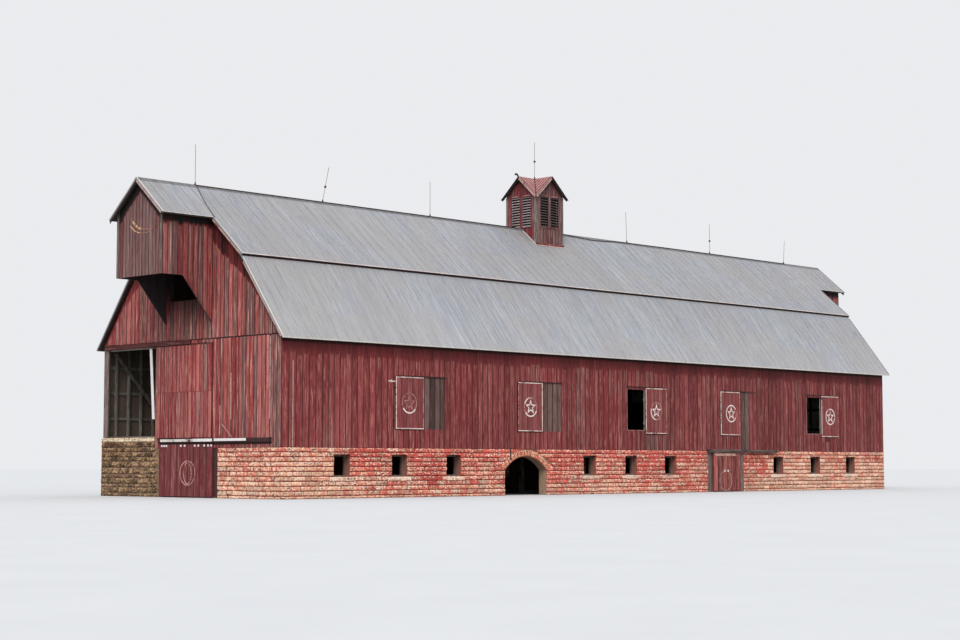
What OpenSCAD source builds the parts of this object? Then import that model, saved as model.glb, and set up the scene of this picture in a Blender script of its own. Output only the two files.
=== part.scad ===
// Gambrel-roofed bank barn over a rock-faced stone storey, as a 1:2 scale model in millimetres.
// X runs along the ridge, the front wall faces -Y, the west gable faces -X and the ground is at Z 0.

/* [Overall] */
// Length of the walls, gable to gable
barn_length = 21950; // [18000:10:27000]
// Width of the walls, front to rear
barn_width = 6100; // [5080:10:7500]
// Height of the stone storey above the ground
stone_height = 1030; // [880:5:1300]
// Thickness of the stone walls
stone_thickness = 225; // [180:5:300]
// Thickness of the board siding
board_thickness = 16; // [12:1:24]

/* [Roof] */
// Height of the eave edge above the stone storey
eave_rise = 2190; // [1900:10:2700]
// Height of the upper slope's edge above the eave
lower_rise = 1740; // [1450:10:2100]
// Height of the ridge above the upper slope's edge
upper_rise = 1630; // [1350:10:2000]
// Distance of the upper slope's edge from the wall
break_inset = 1130; // [900:10:1400]
// Distance of the eave edge from the wall
eave_overhang = 165; // [100:5:250]
// Distance of the roof's end from the gable wall
rake_overhang = 110; // [90:5:200]
// Thickness of the roof plates
roof_thickness = 30; // [20:1:40]
// Drop from the upper slope's edge to the top of the lower slope
roof_step = 72; // [50:1:90]
// Depth of the boards under the roof's ends
rake_board_depth = 70; // [50:1:100]
// Thickness of the boards under the roof's ends
rake_board_thickness = 14; // [10:1:20]

/* [Hay hoods] */
// Distance that a hood's roof runs past the main roof's end
hood_reach = 1275; // [1000:5:1600]
// Distance from the ridge to a hood roof's edge
hood_roof_half = 945; // [880:5:1100]
// Half the width of a hood's board walls
hood_wall_half = 790; // [650:5:860]
// Distance that the hood's roof runs past its front wall
hood_front_overhang = 110; // [60:5:160]
// Height of a hood's bottom edge above the stone storey
hood_bottom_rise = 3520; // [3300:5:3800]
// Length of the level bottom edge of a hood's cheek
hood_level_run = 515; // [300:5:800]
// Height of a cheek's foot on the gable above the stone storey
hood_foot_rise = 2600; // [2400:5:2900]
// Width of the hay doorway under a hood
hay_door_width = 1300; // [800:10:1300]
// Height of the hay doorway's foot above the stone storey
hay_door_foot_rise = 3100; // [2900:10:3300]
// Height of the hay doorway
hay_door_height = 1500; // [1000:10:1600]

/* [Windows of the stone storey] */
// Width of a window
window_width = 440; // [360:5:560]
// Height of a window
window_height = 455; // [360:5:560]
// Distance from the top of the stone storey to a window's head
window_head_drop = 142; // [100:2:200]
// Number of windows in each group of the front wall
windows_per_group = 3; // [2:1:3]
// Number of windows in the rear wall
rear_windows = 6; // [4:1:12]
// Number of windows in the east gable
gable_windows = 3; // [1:1:3]
// Height of a window's stone sill
sill_height = 96; // [60:2:120]
// Distance that a sill runs past the window on each side
sill_horn = 115; // [60:5:140]
// Distance that a sill stands out of the wall
sill_reach = 12; // [8:1:30]
// Width of a window frame's timber
frame_timber = 34; // [24:1:45]
// Depth of a window frame along the wall's thickness
frame_depth = 40; // [30:1:60]
// Distance from the wall's outer face to a window frame
frame_setback = 120; // [60:5:130]

/* [Arched passage] */
// Distance of the arch's middle from the west end of the wall
arch_from_west = 7103; // [6900:1:7400]
// Width of the arched passage
arch_width = 1370; // [1100:5:1500]
// Height of the arch above its springing
arch_rise = 311; // [250:1:400]
// Distance from the top of the stone storey to the crown
arch_crown_drop = 163; // [160:1:220]
// Radial depth of the arch stones
arch_ring_depth = 156; // [100:1:158]
// Distance from the arch's jamb to the end of its wall block
arch_pier = 320; // [300:5:400]

/* [Front stable door] */
// Distance of the door's middle from the east end of the wall
front_door_from_east = 7385; // [7200:5:7600]
// Clear width of the front stable door
front_door_clear = 1090; // [900:5:1200]
// Width of a post of the front stable door
front_post_width = 205; // [120:5:240]
// Distance that a sliding leaf covers past its clear width on each side
leaf_lap = 35; // [20:1:60]
// Distance from the top of the stone storey to the leaf's top
front_leaf_drop = 52; // [45:1:80]
// Travel of the front stable door
front_door_travel = 1200; // [1000:10:1250]
// Length of the cover board over the front stable door
front_cover_length = 2955; // [2700:5:3100]
// Gap between the front leaf's top and its cover board
front_cover_rise = 5; // [5:1:30]

/* [West stable door] */
// Width of the doorway in the west gable's stone wall
west_door_clear = 1900; // [1500:5:1950]
// Distance of that doorway's middle from the barn's middle, towards the front
west_door_offset = 75; // [0:5:120]
// Width of the doorway's front post
west_post_width = 155; // [100:5:180]
// Width of the doorway's rear post
west_rear_post_width = 60; // [40:5:120]
// Width of the west stable door's leaf
west_leaf_width = 1846; // [1500:2:1950]
// Distance of the leaf's middle from the barn's middle, towards the rear
west_leaf_offset = 18; // [0:1:60]
// Height of the leaf's top above the stone storey
west_leaf_rise = 80; // [60:5:100]
// Height of the doorway's head above the stone storey
west_head_rise = 62; // [40:2:80]
// Travel of the west stable door
west_door_travel = 1840; // [1600:10:1900]
// Gap between the west leaf's top and its cover board
west_cover_rise = 31; // [5:1:40]

/* [Wagon door] */
// Distance from the barn's middle to the near jamb of the wagon doorway
wagon_near = 1150; // [1100:5:1250]
// Width of the corner post beside the wagon doorway
wagon_corner_post = 182; // [150:2:300]
// Height of the wagon doorway's head above the stone storey
wagon_head_rise = 2133; // [1900:1:2200]
// Height of the stone threshold above the stone storey
threshold_rise = 234; // [200:2:250]
// Distance that the threshold runs past the rear wall
threshold_reach = 60; // [0:5:120]
// Width of the wagon door's leaf
wagon_leaf_width = 1910; // [1800:5:2000]
// Distance of the open leaf's rear edge from the doorway's near jamb
wagon_leaf_clear = 90; // [60:5:200]
// Height of the leaf's foot above the stone storey
wagon_leaf_foot_rise = 215; // [200:1:240]
// Height of the leaf's top above the stone storey
wagon_leaf_top_rise = 2150; // [1950:1:2165]
// Travel of the wagon door
wagon_door_travel = 1895; // [1700:5:1900]
// Distance that the cover board runs past the doorway's far jamb
wagon_cover_past = 102; // [60:2:160]
// Length of the cover board over the wagon door
wagon_cover_length = 3100; // [3000:5:3300]
// Gap between the wagon leaf's top and its cover board
wagon_cover_rise = 20; // [5:1:30]

/* [Sliding door gear] */
// Thickness of a sliding leaf
leaf_thickness = 22; // [16:1:30]
// Gap between a wall and the leaf that slides on it
leaf_gap = 14; // [14:1:20]
// Gap between a stable leaf's foot and the ground
leaf_ground_gap = 20; // [10:1:40]
// Height of the cover boards
cover_height = 85; // [80:1:100]
// Thickness of the cover boards
cover_thickness = 12; // [8:1:20]
// Height of the cleat that carries a cover board
cleat_height = 16; // [10:1:18]
// Height of the rail
rail_height = 22; // [16:1:24]
// Thickness of the rail
rail_thickness = 5; // [4:1:8]
// Gap between a leaf's top and its rail
rail_rise = 10; // [6:1:12]
// Radius of a hanger's wheel
wheel_radius = 11; // [8:1:12]
// Width of a hanger's strap
hanger_width = 26; // [20:1:34]
// Thickness of a hanger's strap
hanger_thickness = 4; // [3:1:6]
// Length of a hanger's strap on the leaf
hanger_length = 90; // [60:5:140]
// Clearance between moving and fixed gear
gear_gap = 6; // [5:1:8]
// Distance of a hanger from the leaf's edge
hanger_inset = 260; // [200:10:320]

/* [Loft shutters] */
// Distance of the first shutter opening's middle from the west end
shutter_first = 3490; // [3300:5:3700]
// Distance of the last shutter opening's middle from the east end
shutter_last = 3450; // [3300:5:3700]
// Number of shutter openings in a long wall
shutter_count = 5; // [3:1:6]
// Width of a shutter opening
shutter_open_width = 650; // [500:5:750]
// Height of a shutter opening
shutter_open_height = 975; // [800:5:1050]
// Height of a shutter opening's foot above the stone storey
shutter_foot_rise = 482; // [430:2:550]
// Distance that a shutter covers past its opening, on each side
shutter_lap = 80; // [60:2:120]
// Distance that a shutter covers past its opening, above
shutter_top_lap = 46; // [20:2:60]
// Distance that a shutter covers past its opening, below
shutter_foot_lap = 79; // [40:1:90]
// Gap between an opening and the shutter that stands beside it
shutter_clear = 30; // [10:1:60]
// Thickness of a shutter leaf
shutter_thickness = 14; // [10:1:20]
// Gap between the wall and a shutter
shutter_gap = 4; // [2:1:8]
// Length of a shutter's rail
shutter_rail_length = 1430; // [1380:5:1500]
// Height of a shutter's rail
shutter_rail_height = 26; // [20:1:40]
// Distance that the rail starts inside the closed leaf's west edge
shutter_rail_inset = 60; // [40:5:120]
// Shutters that stand open in the front wall, counted from the west
open_shutters = [3, 5];

/* [Floor and frame] */
// Height of the main floor above the stone storey
floor_rise = 262; // [260:2:300]
// Number of bays along the barn
bays = 12; // [8:1:14]
// Side of the basement posts and girders
post_size = 100; // [80:5:140]
// Depth of a girder
girder_depth = 150; // [120:5:180]
// Distance of the girders from the barn's middle
girder_offset = 1010; // [900:10:1100]
// Height of the sill plates on the stone walls
plate_height = 90; // [60:5:110]
// Distance of the first wall stud from the west end
stud_first = 255; // [200:5:300]
// Spacing of the wall studs
stud_pitch = 330; // [300:5:450]
// Width of a stud, joist or rafter
stud_width = 36; // [25:1:50]
// Depth of a stud
stud_depth = 70; // [50:1:100]
// Depth of a girt
girt_depth = 26; // [20:1:40]
// Height of a girt
girt_height = 60; // [40:1:80]
// Height of the lowest girt above the stone storey
girt_first = 666; // [600:2:700]
// Spacing of the girts
girt_pitch = 560; // [500:2:620]
// Depth of a rafter
rafter_depth = 80; // [60:1:110]
// Number of rafter pairs
rafter_pairs = 31; // [21:1:37]

/* [Cupola] */
// Distance of the cupola's middle from the barn's middle, towards the west
cupola_offset = 235; // [0:5:400]
// Side of the cupola
cupola_side = 1000; // [800:10:1200]
// Height of the cupola's eave above the ridge
cupola_eave_rise = 840; // [835:5:980]
// Height of the cupola's ridges above its eave
cupola_roof_rise = 455; // [380:5:620]
// Distance that the cupola's roof runs past its walls
cupola_overhang = 104; // [60:2:140]
// Thickness of the cupola's roof plates
cupola_plate = 18; // [12:1:24]
// Thickness of the cupola's walls
cupola_board = 20; // [14:1:30]
// Side of the cupola's corner posts
cupola_post = 80; // [60:2:100]
// Width of one louvre
louvre_width = 315; // [220:5:320]
// Height of the louvres
louvre_height = 785; // [500:5:785]
// Distance from the cupola's eave down to a louvre's head
louvre_head_drop = 40; // [8:2:44]
// Width of the timber between the two louvres
louvre_mullion = 60; // [40:2:90]
// Width of a louvre's rim
louvre_rim = 14; // [10:1:20]
// Number of blades in a louvre
louvre_blades = 12; // [8:1:14]
// Width of a louvre blade
blade_width = 44; // [30:1:48]
// Thickness of a louvre blade
blade_thickness = 7; // [4:1:10]

/* [Lightning rods] */
// Places of the rods along the ridge, from the west end
rod_places = [120, 3670, 7050, 14370, 18000, 21570];
// Lean of each rod along the ridge, in degrees
rod_leans = [0, 13, 0, -3, 0, 5];
// Height of a rod above the ridge
rod_height = 820; // [600:10:1000]
// Difference of each rod's height from the common height
rod_height_offsets = [40, 0, 0, 0, 0, -150];
// Rods that carry a glass ball, counted from the west
ball_rods = [2, 5];
// Diameter of a rod
rod_diameter = 9; // [6:1:14]
// Diameter of the glass ball on a rod
ball_diameter = 56; // [40:2:80]
// Height of a glass ball above the foot of a rod on the ridge
ball_rise = 355; // [250:5:400]
// Height of the cupola's rod above the cupola's ridges
cupola_rod_height = 930; // [600:10:1100]
// Height of the glass ball above the foot of the cupola's rod
cupola_ball_rise = 440; // [250:5:540]

/* [Hidden] */

past = 2;
half_length = barn_length / 2;
half_width = barn_width / 2;
stone_top = stone_height;
floor_top = stone_top + floor_rise;
threshold_z = stone_top + threshold_rise;
deck_under = threshold_z;
wall_inner = half_width - board_thickness;
girt_in = wall_inner - girt_depth;
stud_in = girt_in - stud_depth;

// Roof section, measured from the middle of the barn. A depth is square to the slope.
eave_half = half_width + eave_overhang;
break_half = half_width - break_inset;
eave_z = stone_top + eave_rise;
break_z = eave_z + lower_rise;
ridge_z = break_z + upper_rise;
upper_slope = upper_rise / break_half;
upper_angle = atan(upper_slope);
lower_slope = (lower_rise - roof_step) / (eave_half - break_half);
lower_angle = atan(lower_slope);
ridge_gap = 2;
roof_seat = 0.5;
function upper_line(y, depth) = ridge_z - y * upper_slope - depth / cos(upper_angle);
function lower_line(y, depth) =
    break_z - roof_step - (y - break_half) * lower_slope - depth / cos(lower_angle);
// Where the upper slope's line at one depth meets the lower slope's line at another
function meet_y(upper_depth, lower_depth) = break_half
    - (roof_step + lower_depth / cos(lower_angle) - upper_depth / cos(upper_angle))
    / (lower_slope - upper_slope);
function upper_under(y) = upper_line(y, roof_thickness);
function lower_under(y) = lower_line(y, roof_thickness);
// What stands under the plates keeps a small clearance from them
lap_top_y = meet_y(roof_thickness + roof_seat, 0);
lap_under_y = meet_y(roof_thickness + roof_seat, roof_thickness);
function upper_seat(y) = upper_line(y, roof_thickness + roof_seat);
function lower_seat(y) = lower_line(y, roof_thickness + roof_seat);
lap_seat_y = meet_y(roof_thickness + roof_seat, roof_thickness + roof_seat);
wall_plate_z = lower_seat(girt_in) - girt_height;

// Places along the front wall, measured from the barn's middle
arch_x = -half_length + arch_from_west;
arch_west = arch_x - arch_width / 2;
arch_east = arch_x + arch_width / 2;
front_door_x = half_length - front_door_from_east;
front_door_half = front_door_clear / 2 + front_post_width;
front_leaf_width = front_door_clear + 2 * leaf_lap;
window_foot = stone_top - window_head_drop - window_height;
function spread(low, high, count) = [for (i = [1:count]) low + (high - low) * i / (count + 1)];
west_windows = spread(-half_length, arch_west, windows_per_group);
middle_windows = spread(arch_east, front_door_x - front_door_half, windows_per_group);
east_windows = spread(front_door_x + front_leaf_width / 2, half_length, windows_per_group);
front_windows = concat(west_windows, middle_windows, east_windows);
rear_window_xs = spread(-half_length, half_length, rear_windows);
gable_window_ys = spread(-half_width, half_width, gable_windows);

// Arch
arch_radius = (pow(arch_width / 2, 2) + pow(arch_rise, 2)) / (2 * arch_rise);
arch_crown_z = stone_top - arch_crown_drop;
arch_centre_z = arch_crown_z - arch_radius;
arch_spring_z = arch_crown_z - arch_rise;
ring_radius = arch_radius + arch_ring_depth;

// Doorways of the west gable, measured towards the rear
west_door_south = -west_door_offset - west_door_clear / 2;
west_door_north = -west_door_offset + west_door_clear / 2;
west_head_z = stone_top + west_head_rise;
wagon_far = half_width - wagon_corner_post;
wagon_head_z = stone_top + wagon_head_rise;
threshold_face = 8;
seam_z = wagon_head_z + 133;
upper_lap = 20;
upper_proud = 6;

// Loft shutters
shutter_pitch = (barn_length - shutter_first - shutter_last) / (shutter_count - 1);
shutter_xs = [for (i = [0:shutter_count - 1]) -half_length + shutter_first + i * shutter_pitch];
shutter_leaf_width = shutter_open_width + 2 * shutter_lap;
shutter_foot_z = stone_top + shutter_foot_rise;
shutter_head_z = shutter_foot_z + shutter_open_height;
shutter_slide = (shutter_leaf_width + shutter_open_width) / 2 + shutter_clear;

// Sliding door gear, measured out of the wall
leaf_front = leaf_gap + leaf_thickness;
rail_middle = leaf_gap + leaf_thickness / 2;
cover_back = leaf_front + hanger_thickness + gear_gap;
wheel_rise = rail_rise + rail_height + gear_gap + wheel_radius;
rail_blocks = 5;
block_width = 30;
cover_end = 28;
wagon_rail_length = wagon_leaf_width + wagon_door_travel + cover_end;
west_rail_length = west_leaf_width + west_door_travel + 2 * cover_end;
front_rail_length = front_post_width + front_leaf_width + front_door_travel + cover_end;

// Hay hoods
roof_half = half_length + rake_overhang;
hood_tip_x = -roof_half - hood_reach;
hood_front_x = hood_tip_x + hood_front_overhang;
hood_foot_z = stone_top + hood_bottom_rise;

// Cupola
cupola_x = -cupola_offset;
cupola_half = cupola_side / 2;
cupola_eave_z = ridge_z + cupola_eave_rise;
cupola_peak_z = cupola_eave_z + cupola_roof_rise;
cupola_slope = cupola_roof_rise / cupola_half;
cupola_edge = cupola_half + cupola_overhang;
louvre_half = louvre_mullion / 2 + louvre_width;
louvre_foot_z = cupola_eave_z - louvre_head_drop - louvre_height;

// Ridge cap
cap_flange = 90;
cap_metal = 5;

// Colours, as the weathered surfaces look
stone_red = [0.72, 0.45, 0.40];
stone_buff = [0.74, 0.60, 0.46];
barn_red = [0.46, 0.22, 0.21];
bare_grey = [0.47, 0.42, 0.39];
dark_timber = [0.24, 0.20, 0.18];
roof_metal = [0.68, 0.69, 0.71];
faded_white = [0.85, 0.78, 0.75];
cupola_metal = [0.62, 0.36, 0.34];
iron = [0.20, 0.18, 0.17];

// A block from its low corner to its high corner
module block(low, high) {
    translate(low) cube(high - low);
}

module rectangle(low, high) {
    translate(low) square(high - low);
}

// A plate whose outline is drawn across the barn in Y and Z, and which runs from one X to another
module along_barn(from_x, to_x) {
    translate([from_x, 0, 0]) rotate([90, 0, 90]) linear_extrude(to_x - from_x) children();
}

// A plate whose outline is drawn along the barn in X and Z, and which runs from one Y to another
module across_barn(from_y, to_y) {
    translate([0, to_y, 0]) rotate([90, 0, 0]) linear_extrude(to_y - from_y) children();
}

// Children drawn for the rear half, and again for the front half
module both_sides() {
    children();
    mirror([0, 1, 0]) children();
}

// Children drawn for the west end, and again for the east end
module both_ends() {
    children();
    mirror([1, 0, 0]) children();
}

// Children drawn about X 0 on a wall face at Y 0 with the outside at -Y, placed on each wall.
// On the west gable, local X runs towards the front.
module on_front(xs) {
    for (x = xs) translate([x, -half_width, 0]) children();
}

module on_rear(xs) {
    for (x = xs) translate([x, half_width, 0]) rotate([0, 0, 180]) children();
}

module on_east_gable(ys) {
    for (y = ys) translate([half_length, y, 0]) rotate([0, 0, 90]) children();
}

module on_west_gable() {
    translate([-half_length, 0, 0]) rotate([0, 0, -90]) children();
}

// Stone storey

module window_hole() {
    block([-window_width / 2, -past, window_foot],
        [window_width / 2, stone_thickness + past, window_foot + window_height]);
    block([-window_width / 2 - sill_horn, -past, window_foot - sill_height],
        [window_width / 2 + sill_horn, stone_thickness + past, window_foot]);
}

module window_sill() {
    block([-window_width / 2 - sill_horn, -sill_reach, window_foot - sill_height],
        [window_width / 2 + sill_horn, stone_thickness, window_foot]);
}

module window_frame() {
    inner = window_width / 2 - frame_timber;
    difference() {
        block([-window_width / 2, frame_setback, window_foot],
            [window_width / 2, frame_setback + frame_depth, window_foot + window_height]);
        block([-inner, frame_setback - past, window_foot + frame_timber],
            [inner, frame_setback + frame_depth + past, window_foot + window_height - frame_timber]);
    }
}

module front_stone(from_x, to_x, xs) {
    color(stone_red) difference() {
        block([from_x, -half_width, 0], [to_x, -half_width + stone_thickness, stone_top]);
        on_front(xs) window_hole();
    }
}

module front_stone_west() {
    front_stone(-half_length, arch_west - arch_pier, west_windows);
}

module front_stone_middle() {
    front_stone(arch_east + arch_pier, front_door_x - front_door_half, middle_windows);
}

module front_stone_east() {
    front_stone(front_door_x + front_door_half, half_length, east_windows);
}

// The sector of a disc that the arch's springing lines bound
module arch_sector(radius) {
    reach = 2;
    rise = arch_radius - arch_rise;
    translate([arch_x, arch_centre_z]) intersection() {
        circle(radius, $fn = 96);
        polygon([
            [0, 0],
            [reach * arch_width / 2, reach * rise],
            [reach * arch_width / 2, reach * arch_radius],
            [-reach * arch_width / 2, reach * arch_radius],
            [-reach * arch_width / 2, reach * rise]
        ]);
    }
}

module arch_passage() {
    rectangle([arch_west, -past], [arch_east, arch_spring_z]);
    arch_sector(arch_radius);
}

module front_stone_arch() {
    color(stone_red) across_barn(-half_width, -half_width + stone_thickness) difference() {
        rectangle([arch_west - arch_pier, 0], [arch_east + arch_pier, stone_top]);
        arch_passage();
        arch_sector(ring_radius);
    }
}

module arch_ring() {
    color(stone_buff) across_barn(-half_width, -half_width + stone_thickness) difference() {
        arch_sector(ring_radius);
        translate([arch_x, arch_centre_z]) circle(arch_radius, $fn = 96);
    }
}

module rear_stone_wall() {
    color(stone_red) difference() {
        block([-half_length + stone_thickness, half_width - stone_thickness, 0],
            [half_length, half_width, stone_top]);
        on_rear(rear_window_xs) window_hole();
    }
}

module west_gable_stone_south() {
    color(stone_red) block([-half_length, -half_width + stone_thickness, 0],
        [-half_length + stone_thickness, west_door_south, stone_top]);
}

module west_gable_stone_north() {
    color(stone_buff) along_barn(-half_length - threshold_face, -half_length + stone_thickness)
        polygon([
            [west_door_north, 0],
            [half_width + threshold_reach, 0],
            [half_width + threshold_reach, threshold_z],
            [wagon_near, threshold_z],
            [wagon_near, stone_top],
            [west_door_north, stone_top]
        ]);
}

module east_gable_stone() {
    color(stone_red) difference() {
        block([half_length - stone_thickness, -half_width + stone_thickness, 0],
            [half_length, half_width - stone_thickness, stone_top]);
        on_east_gable(gable_window_ys) window_hole();
    }
}

module window_sills() {
    color(stone_buff) {
        on_front(front_windows) window_sill();
        on_rear(rear_window_xs) window_sill();
        on_east_gable(gable_window_ys) window_sill();
    }
}

module window_frames() {
    color(bare_grey) {
        on_front(front_windows) window_frame();
        on_rear(rear_window_xs) window_frame();
        on_east_gable(gable_window_ys) window_frame();
    }
}

module stable_door_frames() {
    front_head = stone_top - front_leaf_drop - leaf_lap;
    west_x = -half_length;
    color(bare_grey) {
        difference() {
            block([front_door_x - front_door_half, -half_width, 0],
                [front_door_x + front_door_half, -half_width + stone_thickness, stone_top]);
            block([front_door_x - front_door_clear / 2, -half_width - past, -past],
                [front_door_x + front_door_clear / 2, -half_width + stone_thickness + past, front_head]);
        }
        block([west_x, west_door_south, 0],
            [west_x + stone_thickness, west_door_south + west_post_width, stone_top]);
        block([west_x, west_door_north - west_rear_post_width, 0],
            [west_x + stone_thickness, west_door_north, stone_top]);
        block([west_x + board_thickness, west_door_south, stone_top],
            [west_x + stone_thickness, west_door_north, stone_top + plate_height]);
    }
}

// Floor

girder_top = stone_top + plate_height;
girder_under = girder_top - girder_depth;
girder_end = half_length - stone_thickness;

module basement_posts() {
    color(bare_grey) for (i = [1:bays - 1], side = [-1, 1])
        translate([-half_length + i * barn_length / bays, side * girder_offset, 0])
            block([-post_size / 2, -post_size / 2, 0], [post_size / 2, post_size / 2, girder_under]);
}

module floor_frame() {
    joists = 2 * bays - 1;
    color(bare_grey) {
        both_sides() {
            block([-girder_end, girder_offset - post_size / 2, girder_under],
                [girder_end, girder_offset + post_size / 2, girder_top]);
            block([-girder_end, wall_inner - post_size, stone_top], [girder_end, wall_inner, girder_top]);
        }
        for (i = [1:joists])
            translate([-half_length + i * barn_length / (joists + 1), 0, 0])
                block([-stud_width / 2, -wall_inner, girder_top],
                    [stud_width / 2, wall_inner, deck_under]);
    }
}

module main_floor() {
    color(bare_grey) block([-half_length + board_thickness, -wall_inner, deck_under],
        [half_length - board_thickness, wall_inner, floor_top]);
}

// Board walls

module shutter_holes(from_y, to_y) {
    for (x = shutter_xs)
        block([x - shutter_open_width / 2, from_y, shutter_foot_z],
            [x + shutter_open_width / 2, to_y, shutter_head_z]);
}

module long_wall_siding() {
    difference() {
        along_barn(-half_length + board_thickness, half_length - board_thickness) polygon([
            [wall_inner, stone_top],
            [half_width, stone_top],
            [half_width, lower_seat(half_width)],
            [wall_inner, lower_seat(wall_inner)]
        ]);
        shutter_holes(wall_inner - past, half_width + past);
    }
}

module front_siding() {
    color(barn_red) mirror([0, 1, 0]) long_wall_siding();
}

// The rear siding is notched over the west gable's raised threshold
module rear_siding() {
    color(barn_red) difference() {
        long_wall_siding();
        block([-half_length, wall_inner - past, stone_top - past],
            [-half_length + stone_thickness, half_width + past, threshold_z]);
    }
}

// A gable's outline under the roof plates, from one height up
module gable_outline(foot) {
    polygon([
        [-half_width, foot],
        [half_width, foot],
        [half_width, lower_seat(half_width)],
        [lap_seat_y, upper_seat(lap_seat_y)],
        [0, upper_seat(0)],
        [-lap_seat_y, upper_seat(lap_seat_y)],
        [-half_width, lower_seat(half_width)]
    ]);
}

module hay_door_outline() {
    foot = stone_top + hay_door_foot_rise;
    rectangle([-hay_door_width / 2, foot], [hay_door_width / 2, foot + hay_door_height]);
}

module west_gable_lower() {
    color(barn_red) along_barn(-half_length, -half_length + board_thickness) difference() {
        rectangle([-half_width, stone_top], [half_width, seam_z + upper_lap]);
        rectangle([west_door_south, stone_top - past], [west_door_north, west_head_z]);
        rectangle([wagon_near, stone_top - past], [half_width + past, threshold_z]);
        rectangle([wagon_near, threshold_z - past], [wagon_far, wagon_head_z]);
    }
}

module west_gable_upper() {
    color(barn_red) {
        along_barn(-half_length - upper_proud, -half_length) difference() {
            gable_outline(seam_z);
            hay_door_outline();
        }
        along_barn(-half_length, -half_length + board_thickness) difference() {
            gable_outline(seam_z + upper_lap);
            hay_door_outline();
        }
    }
}

module east_gable_siding() {
    color(barn_red) along_barn(half_length - board_thickness, half_length) difference() {
        gable_outline(stone_top);
        hay_door_outline();
    }
}

// A loose board that leans across the wagon doorway, in the thickness of the wall
module leaning_jamb_board() {
    board_width = 85;
    side_gap = 3;
    foot_y = wagon_near + 25;
    head_y = wagon_near + 150;
    foot_z = threshold_z + 390;
    color(faded_white) along_barn(-half_length + side_gap, -half_length + board_thickness - side_gap)
        polygon([
            [foot_y, foot_z],
            [foot_y + board_width, foot_z],
            [head_y + board_width, wagon_head_z],
            [head_y, wagon_head_z]
        ]);
}

// Timber frame

// Whether a stud at x stands clear of every shutter opening
function stud_clear(x) =
    len([for (s = shutter_xs) if (abs(x - s) < (shutter_open_width + stud_width) / 2) s]) == 0;

module long_wall_frame() {
    end_x = half_length - board_thickness - girt_depth - stud_depth;
    for (x = [-half_length + stud_first:stud_pitch:end_x - stud_width])
        if (stud_clear(x))
            block([x - stud_width / 2, stud_in, floor_top], [x + stud_width / 2, girt_in, wall_plate_z]);
    difference() {
        for (i = [0:2])
            translate([0, 0, stone_top + girt_first + i * girt_pitch])
                block([-end_x, girt_in, -girt_height / 2], [end_x, wall_inner, girt_height / 2]);
        shutter_holes(girt_in - past, wall_inner + past);
    }
    block([-end_x, stud_in, wall_plate_z - girt_height], [end_x, wall_inner, wall_plate_z]);
}

module wall_brace() {
    brace_width = 90;
    high = [-half_length + 130, stone_top + 2100];
    low = [-half_length + 1250, stone_top + 882];
    across_barn(stud_in - stud_width, stud_in) polygon([
        high,
        high + [brace_width, 0],
        low + [brace_width, 0],
        low
    ]);
}

module long_wall_frames() {
    color(dark_timber) {
        both_sides() long_wall_frame();
        wall_brace();
    }
}

// Studs and girts behind a gable, under the rafters
module gable_frame_outline() {
    studs = floor(stud_in / stud_pitch);
    girts = floor((ridge_z - floor_top) / girt_pitch);
    difference() {
        intersection() {
            union() {
                for (i = [-studs:studs])
                    rectangle([i * stud_pitch - stud_width / 2, floor_top],
                        [i * stud_pitch + stud_width / 2, ridge_z]);
                for (i = [0:girts])
                    translate([0, stone_top + girt_first + i * girt_pitch])
                        rectangle([-stud_in, -girt_height / 2], [stud_in, girt_height / 2]);
                rectangle([-stud_in, floor_top], [stud_in, floor_top + girt_height]);
            }
            translate([0, -rafter_depth / cos(lower_angle)]) gable_outline(stone_top);
            rectangle([-stud_in, floor_top], [stud_in, ridge_z]);
        }
        hay_door_outline();
    }
}

module gable_frames() {
    head = 60;
    color(dark_timber) {
        along_barn(-half_length + board_thickness, -half_length + board_thickness + stud_depth) {
            difference() {
                gable_frame_outline();
                rectangle([wagon_near - head, floor_top - past], [half_width, wagon_head_z + head]);
            }
            rectangle([wagon_near - head, floor_top], [wagon_near, wagon_head_z + head]);
            rectangle([wagon_near, wagon_head_z], [stud_in, wagon_head_z + head]);
        }
        along_barn(half_length - board_thickness - stud_depth, half_length - board_thickness)
            gable_frame_outline();
    }
}

module rafter_section() {
    full = roof_thickness + rafter_depth;
    elbow_y = meet_y(full, full);
    heel_y = girt_in - ((rafter_depth - roof_seat) / cos(lower_angle) - girt_height) / lower_slope;
    polygon([
        [girt_in, wall_plate_z],
        [girt_in, lower_seat(girt_in)],
        [lap_seat_y, lower_seat(lap_seat_y)],
        [0, upper_seat(0)],
        [0, upper_line(0, full)],
        [elbow_y, upper_line(elbow_y, full)],
        [heel_y, wall_plate_z]
    ]);
}

module rafters() {
    reach = half_length - board_thickness - stud_depth - stud_width;
    color(dark_timber) for (i = [0:rafter_pairs - 1])
        translate([-reach + i * 2 * reach / (rafter_pairs - 1), 0, 0])
            along_barn(-stud_width / 2, stud_width / 2) {
                rafter_section();
                mirror([1, 0]) rafter_section();
            }
}

// Hay hoods. A hood's walls are drawn for the west end, from a gable face

module hood_walls(gable_x) {
    wall_top = upper_seat(hood_wall_half);
    along_barn(hood_front_x, hood_front_x + board_thickness) polygon([
        [-hood_wall_half, hood_foot_z],
        [hood_wall_half, hood_foot_z],
        [hood_wall_half, wall_top],
        [0, upper_seat(0)],
        [-hood_wall_half, wall_top]
    ]);
    both_sides() across_barn(hood_wall_half - board_thickness, hood_wall_half) polygon([
        [hood_front_x + board_thickness, hood_foot_z],
        [hood_front_x + hood_level_run, hood_foot_z],
        [gable_x, stone_top + hood_foot_rise],
        [gable_x, wall_top],
        [hood_front_x + board_thickness, wall_top]
    ]);
}

module hay_hoods() {
    color(barn_red) {
        hood_walls(-half_length - upper_proud);
        mirror([1, 0, 0]) hood_walls(-half_length);
    }
}

// Roof

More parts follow.
